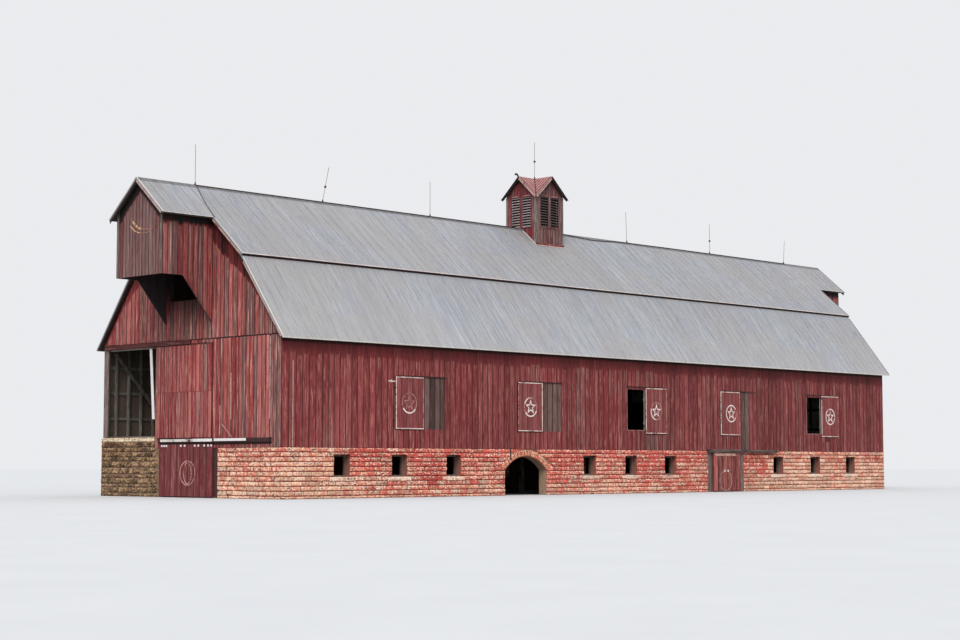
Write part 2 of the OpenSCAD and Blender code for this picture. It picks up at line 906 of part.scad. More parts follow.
module upper_section(edge_y) {
    foot_y = edge_y - roof_thickness * sin(upper_angle);
    polygon([
        [ridge_gap, upper_line(ridge_gap, 0)],
        [edge_y, upper_line(edge_y, 0)],
        [foot_y, upper_under(foot_y)],
        [ridge_gap, upper_under(ridge_gap)]
    ]);
}

module lower_section() {
    foot_y = eave_half - roof_thickness * sin(lower_angle);
    polygon([
        [lap_top_y, lower_line(lap_top_y, 0)],
        [eave_half, lower_line(eave_half, 0)],
        [foot_y, lower_under(foot_y)],
        [lap_under_y, lower_under(lap_under_y)]
    ]);
}

module lower_roof() {
    color(roof_metal) both_sides() along_barn(-roof_half, roof_half) lower_section();
}

module upper_roof() {
    color(roof_metal) both_sides() along_barn(-roof_half, roof_half) upper_section(break_half);
}

module hood_roofs() {
    color(roof_metal) both_ends() both_sides()
        along_barn(hood_tip_x, -roof_half) upper_section(hood_roof_half);
}

// A folded cap over the ridge, which stops at the cupola
function cap_under(y) = upper_line(y, -roof_seat);

module cap_section() {
    polygon([
        [0, cap_under(0)],
        [cap_flange, cap_under(cap_flange)],
        [cap_flange, cap_under(cap_flange) + cap_metal],
        [0, cap_under(0) + cap_metal],
        [-cap_flange, cap_under(cap_flange) + cap_metal],
        [-cap_flange, cap_under(cap_flange)]
    ]);
}

module ridge_cap() {
    color(roof_metal) {
        along_barn(hood_tip_x, cupola_x - cupola_half) cap_section();
        along_barn(cupola_x + cupola_half, -hood_tip_x) cap_section();
    }
}

module upper_rake_section(from_y, edge_y) {
    polygon([
        [from_y, upper_seat(from_y)],
        [edge_y, upper_seat(edge_y)],
        [edge_y, upper_seat(edge_y) - rake_board_depth],
        [from_y, upper_seat(from_y) - rake_board_depth]
    ]);
}

module lower_rake_section() {
    foot_y = eave_half - roof_thickness * sin(lower_angle);
    polygon([
        [lap_seat_y, lower_seat(lap_seat_y)],
        [foot_y, lower_seat(foot_y)],
        [foot_y - rake_board_depth / lower_slope, lower_seat(foot_y)],
        [lap_seat_y, lower_seat(lap_seat_y) - rake_board_depth]
    ]);
}

// Beside a hood's roof, the upper rake board shows only down to the break
module rake_boards() {
    color(faded_white) both_ends() {
        both_sides() along_barn(-roof_half, -roof_half + rake_board_thickness) {
            lower_rake_section();
            if (hood_roof_half < lap_seat_y) upper_rake_section(hood_roof_half, lap_seat_y);
        }
        both_sides() along_barn(hood_tip_x, hood_tip_x + rake_board_thickness)
            upper_rake_section(ridge_gap, hood_roof_half - roof_thickness);
    }
}

// Loft shutters

// Whether the shutter at an index, counted from 0, stands open
function stands_open(i) = len([for (s = open_shutters) if (s == i + 1) s]) > 0;

module shutter_leaf() {
    block([-shutter_leaf_width / 2, -shutter_gap - shutter_thickness, shutter_foot_z - shutter_foot_lap],
        [shutter_leaf_width / 2, -shutter_gap, shutter_head_z + shutter_top_lap]);
}

module shutters() {
    color(barn_red) {
        for (i = [0:shutter_count - 1])
            on_front([shutter_xs[i] + (stands_open(i) ? shutter_slide : 0)]) shutter_leaf();
        on_rear(shutter_xs) shutter_leaf();
    }
}

// A rail stands on the wall over each shutter and carries its leaf's top edge
module shutter_rail() {
    rail_z = shutter_head_z + shutter_top_lap;
    west = -shutter_leaf_width / 2 + shutter_rail_inset;
    block([west, -shutter_gap - shutter_thickness, rail_z],
        [west + shutter_rail_length, 0, rail_z + shutter_rail_height]);
}

module shutter_rails() {
    color(dark_timber) {
        on_front(shutter_xs) shutter_rail();
        on_rear(shutter_xs) shutter_rail();
    }
}

// Sliding doors

// Fixed gear over a leaf whose top is at Z 0: the rail on its blocks, and the cover board on its cleat
module door_gear(from_x, cover_length, rail_length, cover_rise) {
    translate([from_x, 0, cover_rise]) {
        block([0, -cover_back - cover_thickness, 0], [cover_length, -cover_back, cover_height]);
        block([0, -cover_back, cover_height - cleat_height], [cover_length, 0, cover_height]);
    }
    translate([from_x, 0, rail_rise]) {
        block([0, -rail_middle - rail_thickness / 2, 0],
            [rail_length, -rail_middle + rail_thickness / 2, rail_height]);
        for (i = [0:rail_blocks - 1])
            translate([i * (rail_length - block_width) / (rail_blocks - 1), 0, 0])
                block([0, -rail_middle + rail_thickness / 2, past], [block_width, 0, rail_height - past]);
    }
}

// Two hangers on a leaf of one width, whose top is at Z 0 and whose left edge is at X 0
module door_hangers(width) {
    wheel_thickness = 6;
    axle_radius = 4;
    for (x = [hanger_inset, width - hanger_inset]) translate([x, 0, 0]) {
        block([-hanger_width / 2, -leaf_front - hanger_thickness, -hanger_length],
            [hanger_width / 2, -leaf_front, wheel_rise + axle_radius]);
        translate([0, -rail_middle - wheel_thickness / 2, wheel_rise]) rotate([-90, 0, 0])
            cylinder(h = wheel_thickness, r = wheel_radius, $fn = 48);
        translate([0, -leaf_front, wheel_rise]) rotate([-90, 0, 0])
            cylinder(h = leaf_front - rail_middle, r = axle_radius, $fn = 32);
    }
}

wagon_top_z = stone_top + wagon_leaf_top_rise;
west_leaf_top_z = stone_top + west_leaf_rise;
front_leaf_top_z = stone_top - front_leaf_drop;
wagon_leaf_left = -wagon_near + wagon_leaf_clear;
west_leaf_left = -west_leaf_offset - west_leaf_width / 2;
front_leaf_left = front_door_x - front_leaf_width / 2;

module wagon_door_gear() {
    color(barn_red) on_west_gable() translate([0, 0, wagon_top_z])
        door_gear(-wagon_far - wagon_cover_past, wagon_cover_length, wagon_rail_length, wagon_cover_rise);
}

module west_door_gear() {
    color(faded_white) on_west_gable() translate([0, 0, west_leaf_top_z])
        door_gear(west_leaf_left - cover_end, west_rail_length, west_rail_length, west_cover_rise);
}

module front_door_gear() {
    color(bare_grey) on_front([front_leaf_left]) translate([0, 0, front_leaf_top_z])
        door_gear(-front_post_width, front_cover_length, front_rail_length, front_cover_rise);
}

module wagon_door() {
    color(barn_red) on_west_gable() translate([wagon_leaf_left, 0, 0])
        block([0, -leaf_front, stone_top + wagon_leaf_foot_rise],
            [wagon_leaf_width, -leaf_gap, wagon_top_z]);
}

module wagon_door_hangers() {
    color(iron) on_west_gable() translate([wagon_leaf_left, 0, wagon_top_z])
        door_hangers(wagon_leaf_width);
}

module west_stable_door() {
    color(barn_red) on_west_gable() translate([west_leaf_left, 0, 0])
        block([0, -leaf_front, leaf_ground_gap], [west_leaf_width, -leaf_gap, west_leaf_top_z]);
}

module west_door_hangers() {
    color(iron) on_west_gable() translate([west_leaf_left, 0, west_leaf_top_z])
        door_hangers(west_leaf_width);
}

module front_stable_door() {
    color(barn_red) on_front([front_leaf_left])
        block([0, -leaf_front, leaf_ground_gap], [front_leaf_width, -leaf_gap, front_leaf_top_z]);
}

module front_door_hangers() {
    color(iron) on_front([front_leaf_left]) translate([0, 0, front_leaf_top_z])
        door_hangers(front_leaf_width);
}

// Cupola, drawn about its own middle and then moved onto the ridge

module at_cupola() {
    translate([cupola_x, 0, 0]) children();
}

// One wall's outline in its own plane, from a foot at one height
module cupola_wall_outline(half_span, foot) {
    difference() {
        polygon([
            [-half_span, foot],
            [half_span, foot],
            [half_span, cupola_peak_z - roof_seat - half_span * cupola_slope],
            [0, cupola_peak_z - roof_seat],
            [-half_span, cupola_peak_z - roof_seat - half_span * cupola_slope]
        ]);
        rectangle([-louvre_half, louvre_foot_z], [louvre_half, louvre_foot_z + louvre_height]);
    }
}

module cupola_walls() {
    inner = cupola_half - cupola_board;
    post_in = cupola_half - cupola_post;
    color(barn_red) at_cupola() difference() {
        union() {
            both_sides() across_barn(inner, cupola_half)
                cupola_wall_outline(cupola_half, upper_line(cupola_half, 0) - cupola_board);
            both_ends() along_barn(-cupola_half, -inner)
                cupola_wall_outline(inner, upper_line(cupola_half, 0));
            both_sides() both_ends()
                block([-inner, post_in, upper_line(cupola_half, 0)],
                    [-post_in, inner, cupola_eave_z - roof_seat]);
        }
        // The roof's own slopes
        along_barn(-cupola_side, cupola_side) polygon([
            [-cupola_side, cap_under(cupola_side) - cupola_side],
            [cupola_side, cap_under(cupola_side) - cupola_side],
            [cupola_side, cap_under(cupola_side)],
            [0, cap_under(0)],
            [-cupola_side, cap_under(cupola_side)]
        ]);
    }
}

// Two louvres with their blades in one rim, drawn about X 0 with the outside at -Y
module louvre_panel() {
    blade_pitch = louvre_height / louvre_blades;
    light = louvre_width - 2 * louvre_rim;
    blade_tilt = 40;
    difference() {
        block([-louvre_half, 0, louvre_foot_z],
            [louvre_half, cupola_board, louvre_foot_z + louvre_height]);
        for (side = [-1, 1])
            translate([side * (louvre_width + louvre_mullion) / 2, 0, 0])
                block([-light / 2, -past, louvre_foot_z + louvre_rim],
                    [light / 2, cupola_board + past, louvre_foot_z + louvre_height - louvre_rim]);
    }
    intersection() {
        for (side = [-1, 1], i = [0:louvre_blades - 1])
            translate([side * (louvre_width + louvre_mullion) / 2, cupola_board / 2,
                    louvre_foot_z + (i + 0.5) * blade_pitch])
                rotate([blade_tilt, 0, 0])
                    cube([light + louvre_rim, blade_width, blade_thickness], center = true);
        block([-louvre_half, -cupola_board, louvre_foot_z],
            [louvre_half, 2 * cupola_board, louvre_foot_z + louvre_height]);
    }
}

module cupola_louvres() {
    color(bare_grey) at_cupola() for (turn = [0:90:270])
        rotate([0, 0, turn]) translate([0, -cupola_half, 0]) louvre_panel();
}

// The section of a gable roof over the cupola, solid down to one depth under its top
module cupola_gable(half_span, top, depth) {
    foot = top - cupola_slope * half_span;
    polygon([
        [-half_span, foot - depth],
        [half_span, foot - depth],
        [half_span, foot],
        [0, top],
        [-half_span, foot]
    ]);
}

module cupola_roof() {
    beyond = cupola_edge + past;
    top = cupola_peak_z + cupola_plate;
    color(cupola_metal) at_cupola() difference() {
        union() {
            along_barn(-cupola_edge, cupola_edge) cupola_gable(cupola_edge, top, cupola_plate);
            across_barn(-cupola_edge, cupola_edge) cupola_gable(cupola_edge, top, cupola_plate);
        }
        along_barn(-beyond, beyond) cupola_gable(beyond, cupola_peak_z, cupola_side);
        across_barn(-beyond, beyond) cupola_gable(beyond, cupola_peak_z, cupola_side);
    }
}

// Lightning rods, whose feet are notched to sit on the ridges

// A rod, with its ball where it has one
module rod(height, has_ball, ball_z) {
    foot_height = 70;
    foot_radius = 22;
    skirt = 40;
    translate([0, 0, -skirt]) cylinder(h = skirt, r = foot_radius, $fn = 32);
    cylinder(h = foot_height, r1 = foot_radius, r2 = rod_diameter / 2, $fn = 32);
    cylinder(h = height, d = rod_diameter, $fn = 24);
    if (has_ball) translate([0, 0, ball_z]) sphere(d = ball_diameter, $fn = 32);
}

function carries_ball(i) = len([for (b = ball_rods) if (b == i + 1) b]) > 0;

module lightning_rods() {
    cupola_top = cupola_peak_z + cupola_plate;
    color(iron) {
        difference() {
            for (i = [0:len(rod_places) - 1])
                translate([-half_length + rod_places[i], 0, ridge_z + cap_metal])
                    rotate([0, rod_leans[i], 0])
                        rod(rod_height + rod_height_offsets[i], carries_ball(i), ball_rise);
            along_barn(-roof_half, roof_half) polygon([
                [-cap_flange, cap_under(cap_flange) + cap_metal + roof_seat],
                [cap_flange, cap_under(cap_flange) + cap_metal + roof_seat],
                [0, cap_under(0) + cap_metal + roof_seat]
            ]);
        }
        at_cupola() difference() {
            translate([0, 0, cupola_top]) rod(cupola_rod_height, true, cupola_ball_rise);
            along_barn(-cupola_edge, cupola_edge) cupola_gable(cupola_edge, cupola_top + roof_seat, 0);
            across_barn(-cupola_edge, cupola_edge) cupola_gable(cupola_edge, cupola_top + roof_seat, 0);
        }
    }
}

front_stone_west();
front_stone_arch();
front_stone_middle();
front_stone_east();
arch_ring();
rear_stone_wall();
west_gable_stone_south();
west_gable_stone_north();
east_gable_stone();
window_sills();
window_frames();
stable_door_frames();
basement_posts();
floor_frame();
main_floor();
front_siding();
rear_siding();
west_gable_lower();
west_gable_upper();
east_gable_siding();
long_wall_frames();
gable_frames();
rafters();
hay_hoods();
leaning_jamb_board();
lower_roof();
upper_roof();
hood_roofs();
ridge_cap();
rake_boards();
shutters();
shutter_rails();
wagon_door_gear();
west_door_gear();
front_door_gear();
wagon_door();
wagon_door_hangers();
west_stable_door();
west_door_hangers();
front_stable_door();
front_door_hangers();
cupola_walls();
cupola_louvres();
cupola_roof();
lightning_rods();
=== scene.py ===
import math

import bmesh
import bpy
import numpy as np
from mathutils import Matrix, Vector


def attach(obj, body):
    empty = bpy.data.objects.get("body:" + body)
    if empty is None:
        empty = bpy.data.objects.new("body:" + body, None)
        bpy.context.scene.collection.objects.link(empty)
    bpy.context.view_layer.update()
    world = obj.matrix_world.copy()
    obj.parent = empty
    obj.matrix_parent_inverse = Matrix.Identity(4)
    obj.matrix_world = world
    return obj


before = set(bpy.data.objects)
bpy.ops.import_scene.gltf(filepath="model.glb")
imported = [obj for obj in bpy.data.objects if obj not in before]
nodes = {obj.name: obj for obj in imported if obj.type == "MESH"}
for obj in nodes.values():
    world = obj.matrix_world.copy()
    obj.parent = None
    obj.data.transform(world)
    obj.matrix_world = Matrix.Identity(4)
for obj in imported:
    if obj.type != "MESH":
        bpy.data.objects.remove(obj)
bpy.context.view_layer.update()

chance = np.random.default_rng(31)

# The barn's sizes in metres, the same as in part.scad
half_length, half_width = 10.975, 3.05
stone_top = 1.03
course_height = 0.0976
eave_half, eave_z = 3.215, 3.22
break_half, break_z = 1.92, 4.96
break_step = 0.072
ridge_z = 6.59
lower_top_z = break_z - break_step
plate = 0.030
roof_half = 11.085
hood_tip, hood_front, hood_half, hood_roof_half = 12.36, 12.25, 0.79, 0.945
hood_foot, hood_level_end, cheek_foot = 4.55, 11.735, 3.63
gable_seam = 3.296
upper_slope = (ridge_z - break_z) / break_half
lower_slope = (lower_top_z - eave_z) / (eave_half - break_half)
upper_angle, lower_angle = math.atan(upper_slope), math.atan(lower_slope)
arch_x, arch_z, arch_half, arch_radius, ring_radius = -3.872, -0.0429, 0.685, 0.9099, 1.0659
arch_spring = 0.556
window_half, window_foot, window_head = 0.22, 0.433, 0.888
sill_foot, sill_horn = 0.337, 0.115
front_windows = (-9.3705, -7.766, -6.1615, -1.680, -0.1735, 1.333, 5.871, 7.5725, 9.274)
rear_windows = (-7.8393, -4.7036, -1.5679, 1.5679, 4.7036, 7.8393)
east_windows = (-1.525, 0, 1.525)
shutter_centres = (-7.485, -3.7325, 0.020, 3.7725, 7.525)
front_leaf_centres = (-7.485, -3.7325, 0.780, 3.7725, 8.285)
shutter_half, shutter_foot, shutter_head = 0.325, 1.512, 2.487
leaf_half, leaf_foot, leaf_head = 0.405, 1.433, 2.533
hay_half, hay_foot, hay_head = 0.65, 4.13, 5.63
cupola_x, cupola_half, cupola_peak, cupola_slope, cupola_edge = -0.235, 0.5, 7.885, 0.91, 0.604
louvre_foot, louvre_head, louvre_width, mullion = 6.605, 7.390, 0.315, 0.060


def upper_under(y):
    return ridge_z - y * upper_slope - plate / math.cos(upper_angle)


def lower_under(y):
    return lower_top_z - (y - break_half) * lower_slope - plate / math.cos(lower_angle)


def gable_line(y):
    """The underside of the roof above a point of the gable wall."""
    y = np.abs(y)
    return np.minimum(upper_under(y), lower_under(y)) - 0.003


# Modelling

def clear_picks():
    """Leaves edit mode and deselects everything, because an operator acts on all that is selected."""
    if bpy.context.mode != "OBJECT":
        bpy.ops.object.mode_set(mode="OBJECT")
    bpy.ops.object.select_all(action="DESELECT")


def add_block(name, low, high):
    """A block between two corners, with its place in its mesh."""
    clear_picks()
    middle = [(a + b) / 2 for a, b in zip(low, high)]
    size = [b - a for a, b in zip(low, high)]
    bpy.ops.mesh.primitive_cube_add(size=1, location=middle, scale=size)
    bpy.ops.object.transform_apply(location=True, rotation=False, scale=True)
    block = bpy.context.object
    block.name = block.data.name = name
    return block


def open_piece(piece, kind="FACE"):
    """Opens a piece in edit mode with nothing selected."""
    clear_picks()
    bpy.context.view_layer.objects.active = piece
    piece.select_set(True)
    bpy.ops.object.mode_set(mode="EDIT")
    bpy.ops.mesh.select_mode(type=kind)
    bpy.ops.mesh.select_all(action="DESELECT")
    return bmesh.from_edit_mesh(piece.data)


def pick(piece, elements, wanted):
    """Selects the faces, edges or points that pass a test."""
    for element in elements:
        if wanted(element):
            element.select_set(True)
    bmesh.update_edit_mesh(piece.data)


def middle_of(edge):
    return (edge.verts[0].co + edge.verts[1].co) / 2


def model_board(width, depth, bevel):
    """A board one metre long: across, along, then out of the wall. Its two outer edges are eased."""
    board = add_block("board_pattern", (0, 0, 0), (width, 1, depth))
    form = open_piece(board, "EDGE")
    pick(board, form.edges, lambda e: abs(e.verts[0].co.y - e.verts[1].co.y) > 0.5
         and middle_of(e).z > depth * 0.9)
    bpy.ops.mesh.bevel(offset=bevel, offset_type="OFFSET", segments=1)
    clear_picks()
    return board


def model_stone(seed, width, height, arris, swell, rough):
    """A rock-faced block: a low arris all round, then a broken face that swells out of it."""
    stone = add_block("stone_pattern", (0, 0, 0), (width, height, arris))
    form = open_piece(stone)
    pick(stone, form.faces, lambda f: f.normal.z > 0.9)
    bpy.ops.mesh.inset(thickness=height * 0.13, depth=swell)
    bpy.ops.mesh.subdivide(number_cuts=2)
    bpy.ops.transform.vertex_random(offset=rough, uniform=0.6, normal=0.0, seed=seed)
    clear_picks()
    return stone


def take_pattern(piece, stretch):
    """Keeps a modelled piece's points and faces as a pattern, and removes the piece."""
    points = np.array([v.co for v in piece.data.vertices])
    points -= points.min(0)
    faces = [list(f.vertices) for f in piece.data.polygons]
    bpy.data.objects.remove(piece)
    return {"points": points, "faces": faces, "size": points.max(0), "stretch": stretch}


def fit_pattern(pattern, low, high):
    """Fits a pattern between two corners. It stretches, or its edges keep their size."""
    size, full, points = high - low, pattern["size"], pattern["points"]
    if pattern["stretch"]:
        return low + points / full * size
    near = np.minimum(points, size / 2)
    far = size - np.minimum(full - points, size / 2)
    return low + np.where(points < full / 2, near, far)


def lay(name, patterns, spots, place, look, body="root", slot=None):
    """Lays one pattern copy on each spot and joins them. A spot is its low corner and its high corner
    across, along and out of the wall, then its tone and how bare it is. place turns them into metres.
    Each point keeps how far it is to the side, up its piece and below the piece's face."""
    points, faces = [], []
    values = {label: [] for label in ("tone", "bare", "hollow", "side", "rise")}
    count = 0
    first = np.array(spots[0][0:3])
    probe = place(np.array([first, first + (1e-3, 0, 0), first + (0, 1e-3, 0), first + (0, 0, 1e-3)]))
    turned = np.linalg.det(probe[1:] - probe[0]) < 0
    for spot in spots:
        pattern = patterns[int(spot[6] * 997) % len(patterns)]
        low, high = np.array(spot[0:3]), np.array(spot[3:6])
        local = fit_pattern(pattern, low, high)
        points.append(place(local))
        share = (local - low) / (high - low)
        values["side"].append(share[:, 0] * 2 - 1)
        values["rise"].append(share[:, 1] * 2 - 1)
        values["hollow"].append(1 - np.clip(share[:, 2], 0, 1))
        values["tone"].append(np.full(len(local), spot[6]))
        values["bare"].append(np.full(len(local), spot[7]))
        for face in pattern["faces"]:
            faces.append([count + i for i in (reversed(face) if turned else face)])
        count += len(local)
    mesh = bpy.data.meshes.new(name)
    mesh.from_pydata(np.concatenate(points), [], faces)
    for label, column in values.items():
        attribute = mesh.attributes.new(label, "FLOAT", "POINT")
        attribute.data.foreach_set("value", np.concatenate(column).astype(np.float32))
    mesh.materials.append(finishes[look])
    mesh.update()
    piece = bpy.data.objects.new(name, mesh)
    bpy.context.scene.collection.objects.link(piece)
    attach(piece, body)
    slot or slots[look]


def on_wall(side, plane, limit=None):
    """Turns across, along and out into metres on one upright wall. limit may hold the points first."""
    def place(local):
        if limit:
            local = limit(local.copy())
        across, along, out = local.T
        if side == "front":
            return np.stack((across, plane - out, along), 1)
        if side == "rear":
            return np.stack((across, plane + out, along), 1)
        if side == "west":
            return np.stack((plane - out, across, along), 1)
        return np.stack((plane + out, across, along), 1)
    return place


def on_slope(sign, top_y, top_z, angle):
    """Turns barn length, way down the slope and height over it into metres on one roof slope."""
    def place(local):
        across, along, out = local.T
        y = top_y + along * math.cos(angle) + out * math.sin(angle)
        z = top_z - along * math.sin(angle) + out * math.cos(angle)
        return np.stack((across, sign * y, z), 1)
    return place


def shifted(place, x):
    """The same place, moved along the barn."""
    def moved(local):
        points = place(local)
        points[:, 0] += x
        return points
    return moved


def on_path(path, place):
    """Bends pieces along a line of points on a surface: across runs along the line."""
    path = np.array(path, float)
    reach = np.concatenate(([0], np.cumsum(np.hypot(*np.diff(path, axis=0).T))))

    def bent(local):
        def point(distance):
            return np.stack((np.interp(distance, reach, path[:, 0]), np.interp(distance, reach, path[:, 1])), 1)
        across, along, out = local.T
        heading = point(across + 1e-3) - point(across - 1e-3)
        heading /= np.linalg.norm(heading, axis=1)[:, None]
        middle = point(across)
        return place(np.stack((middle[:, 0] - heading[:, 1] * along, middle[:, 1] + heading[:, 0] * along,
                               out), 1))
    return bent, reach[-1]


def run_spots(length, width, proud, step, gaps=(), foot=-0.001):
    """Short lengths end to end along a path, with gaps where the piece is worn away."""
    joints = np.linspace(0, length, max(1, round(length / step)) + 1)
    return [(a, -width / 2, foot, b, width / 2, proud, 0.37, 0.0) for a, b in zip(joints, joints[1:])
            if not any(g < (a + b) / 2 < h for g, h in gaps)]


def cut_out(flats, holes, least=0.012):
    """Cuts rectangles out of flat spots, each (low across, low along, high across, high along)."""
    for a, b, c, d in holes:
        left = []
        for u0, v0, u1, v1 in flats:
            if a >= u1 or c <= u0 or b >= v1 or d <= v0:
                left.append((u0, v0, u1, v1))
                continue
            left += [(u0, v0, min(u1, a), v1), (max(u0, c), v0, u1, v1)]
            left += [(max(u0, a), v0, min(u1, c), b), (max(u0, a), d, min(u1, c), v1)]
        flats = [f for f in left if f[2] - f[0] > least and f[3] - f[1] > least]
    return flats


def seams(start, end, pitch, must=()):
    """The joints of a boarded wall, slightly uneven, with one at each place that must have one."""
    stops = sorted({start, end, *(m for m in must if start < m < end)})
    joints = [start]
    for a, b in zip(stops, stops[1:]):
        count = max(1, round((b - a) / pitch))
        widths = 1 + chance.uniform(-0.14, 0.14, count)
        joints += list(a + np.cumsum(widths) / widths.sum() * (b - a))
    return joints


def no_bare(across, along):
    return 0.0


def boards(start, end, foot, head, pitch, holes=(), must=(), proud=(0.003, 0.008), gap=0.006,
           bareness=no_bare, ragged=0.0):
    """Upright boards side by side, cut round the holes."""
    spots = []
    joints = seams(start, end, pitch, must)
    for a, b in zip(joints, joints[1:]):
        tone, depth, shift = chance.random(), chance.uniform(*proud), chance.uniform(0, ragged)
        for u0, v0, u1, v1 in cut_out([(a + gap / 2, foot + shift, b - gap / 2, head)], holes):
            spots.append((u0, v0, -0.002, u1, v1, depth, tone, bareness((u0 + u1) / 2, (v0 + v1) / 2)))
    return spots


def stone_courses(start, end, foot, head, holes=(), proud=(0.006, 0.016), gap=0.009, low=0.17, high=0.37,
                  height=course_height, drop=None, uneven=0.0):
    """Courses of blocks from the head down, cut round the holes. proud may depend on the place."""
    spots = []
    top = head
    while top > foot + 0.01:
        base = top - height * chance.uniform(1 - uneven, 1 + uneven)
        if base < foot + 0.03:
            base = foot
        joints = [start]
        while joints[-1] < end - low:
            joints.append(joints[-1] + chance.uniform(low, high))
        if end - joints[-1] < low * 0.6 and len(joints) > 1:
            joints.pop()
        joints.append(end)
        for a, b in zip(joints, joints[1:]):
            tone = chance.random()
            flat = [(a + gap / 2, base + gap / 2, b - gap / 2, top - gap / 2)]
            for u0, v0, u1, v1 in cut_out(flat, holes, 0.02):
                if drop and drop((u0 + u1) / 2, (v0 + v1) / 2):
                    continue
                span = proud((u0 + u1) / 2) if callable(proud) else proud
                spots.append((u0, v0, -0.004, u1, v1, chance.uniform(*span), tone, chance.random()))
        top = base
    return spots


def strip(u0, v0, w0, u1, v1, w1, bare=0.0):
    """One spot for a single board, lath or trim."""
    return (u0, v0, w0, u1, v1, w1, chance.random(), bare)


def strips(*rows):
    return [strip(*row) for row in rows]


def lengths(start, end, count, gap, foot, head, low, high, bare=0.0):
    """Boards end to end in one line."""
    joints = np.linspace(start, end, count + 1)
    return [strip(a, foot, low, b - gap, head, high, bare) for a, b in zip(joints, joints[1:])]


# Shader tools

def paint(red, green, blue):
    """A colour written from 0 to 255 as nodes take it."""
    return tuple((v / 255 / 12.92 if v < 10.3 else ((v / 255 + 0.055) / 1.055) ** 2.4)
                 for v in (red, green, blue)) + (1.0,)


class Value:
    """A node's output, which adds, subtracts and multiplies like a number."""

    def __init__(self, bench, socket):
        self.bench, self.socket = bench, socket

    def __add__(self, other):
        return self.bench.maths("ADD", self, other)

    def __sub__(self, other):
        return self.bench.maths("SUBTRACT", self, other)

    def __rsub__(self, other):
        return self.bench.maths("SUBTRACT", other, self)

    def __mul__(self, other):
        return self.bench.maths("MULTIPLY", self, other)

    def __abs__(self):
        return self.bench.maths("ABSOLUTE", self)

    __radd__, __rmul__ = __add__, __mul__

    def mask(self, low, high, to_low=0.0, to_high=1.0):
        """A smooth step between two numbers."""
        return self.bench.add("MapRange", 0, {"Value": self, "From Min": low, "From Max": high,
                                              "To Min": to_low, "To Max": to_high},
                              interpolation_type="SMOOTHSTEP")


class Bench:
    """Adds nodes to one node tree and joins them."""

    def __init__(self, tree):
        self.tree = tree
        self.made = 0

    def add(self, kind, out=0, inputs=None, **settings):
        node = self.tree.nodes.new("ShaderNode" + kind)
        node.location = (180 * (self.made % 12), -220 * (self.made // 12))
        self.made += 1
        for key, value in settings.items():
            setattr(node, key, value)
        for key, value in (inputs or {}).items():
            if isinstance(value, Value):
                self.tree.links.new(value.socket, node.inputs[key])
            else:
                node.inputs[key].default_value = value
        return Value(self, node.outputs[out])

    def end(self, shader, kind="OutputMaterial"):
        """Joins the finished shader to the tree's output."""
        output = self.tree.nodes.new("ShaderNode" + kind)
        self.tree.links.new(shader.socket, output.inputs["Surface"])

    def maths(self, operation, first, second=0.0):
        return self.add("Math", 0, {0: first, 1: second}, operation=operation)

    def most(self, first, second):
        return self.maths("MAXIMUM", first, second)

    def vector(self, operation, first, second=(0, 0, 0)):
        return self.add("VectorMath", 0, {0: first, 1: second}, operation=operation)

    def point(self, x, y, z):
        return self.add("CombineXYZ", 0, {0: x, 1: y, 2: z})

    def parts(self, place):
        outputs = self.add("SeparateXYZ", 0, {0: place}).socket.node.outputs
        return [Value(self, output) for output in outputs]

    def noise(self, place, scale, detail=3.0, roughness=0.55):
        return self.add("TexNoise", "Fac", {"Vector": place, "Scale": scale, "Detail": detail,
                                            "Roughness": roughness})

    def value_of(self, label):
        return self.add("Attribute", "Fac", attribute_name=label)

    def near_number(self, value, step):
        """A number from 0 to 1 that differs from piece to piece."""
        return self.maths("FRACT", value * step)

    def blend(self, share, first, second, kind="MIX"):
        return self.add("Mix", 2, {0: share, 6: first, 7: second}, data_type="RGBA", blend_type=kind)

    def shade(self, colour, level):
        """Makes a colour darker or lighter by a number."""
        return self.blend(1.0, colour, self.add("CombineColor", 0, {0: level, 1: level, 2: level}),
                          "MULTIPLY")


def clear_bench(owner):
    """A bench on the empty node tree of a material or world."""
    owner.use_nodes = True
    owner.node_tree.nodes.clear()
    return Bench(owner.node_tree)


def new_group(name, inputs):
    """A shader node group with named inputs, and a colour, a roughness and a height as outputs."""
    tree = bpy.data.node_groups.new(name, "ShaderNodeTree")
    for label, value in inputs.items():
        kind = "NodeSocketFloat"
        if isinstance(value, tuple):
            kind = "NodeSocketColor" if len(value) == 4 else "NodeSocketVector"
        tree.interface.new_socket(name=label, in_out="INPUT", socket_type=kind).default_value = value
    for label, kind in (("Colour", "Color"), ("Roughness", "Float"), ("Height", "Float")):
        tree.interface.new_socket(name=label, in_out="OUTPUT", socket_type="NodeSocket" + kind)
    source, sink = tree.nodes.new("NodeGroupInput"), tree.nodes.new("NodeGroupOutput")
    bench = Bench(tree)

    def give(*results):
        for value, socket in zip(results, sink.inputs):
            tree.links.new(value.socket, socket)
        return tree
    return bench, {label: Value(bench, source.outputs[label]) for label in inputs}, give


def outer_skin(bench, x, y):
    """One on the outer faces of the walls, nothing on their inner faces."""
    return bench.most(abs(y).mask(half_width - 0.007, half_width - 0.002),
                      abs(x).mask(half_length - 0.007, half_length - 0.002))


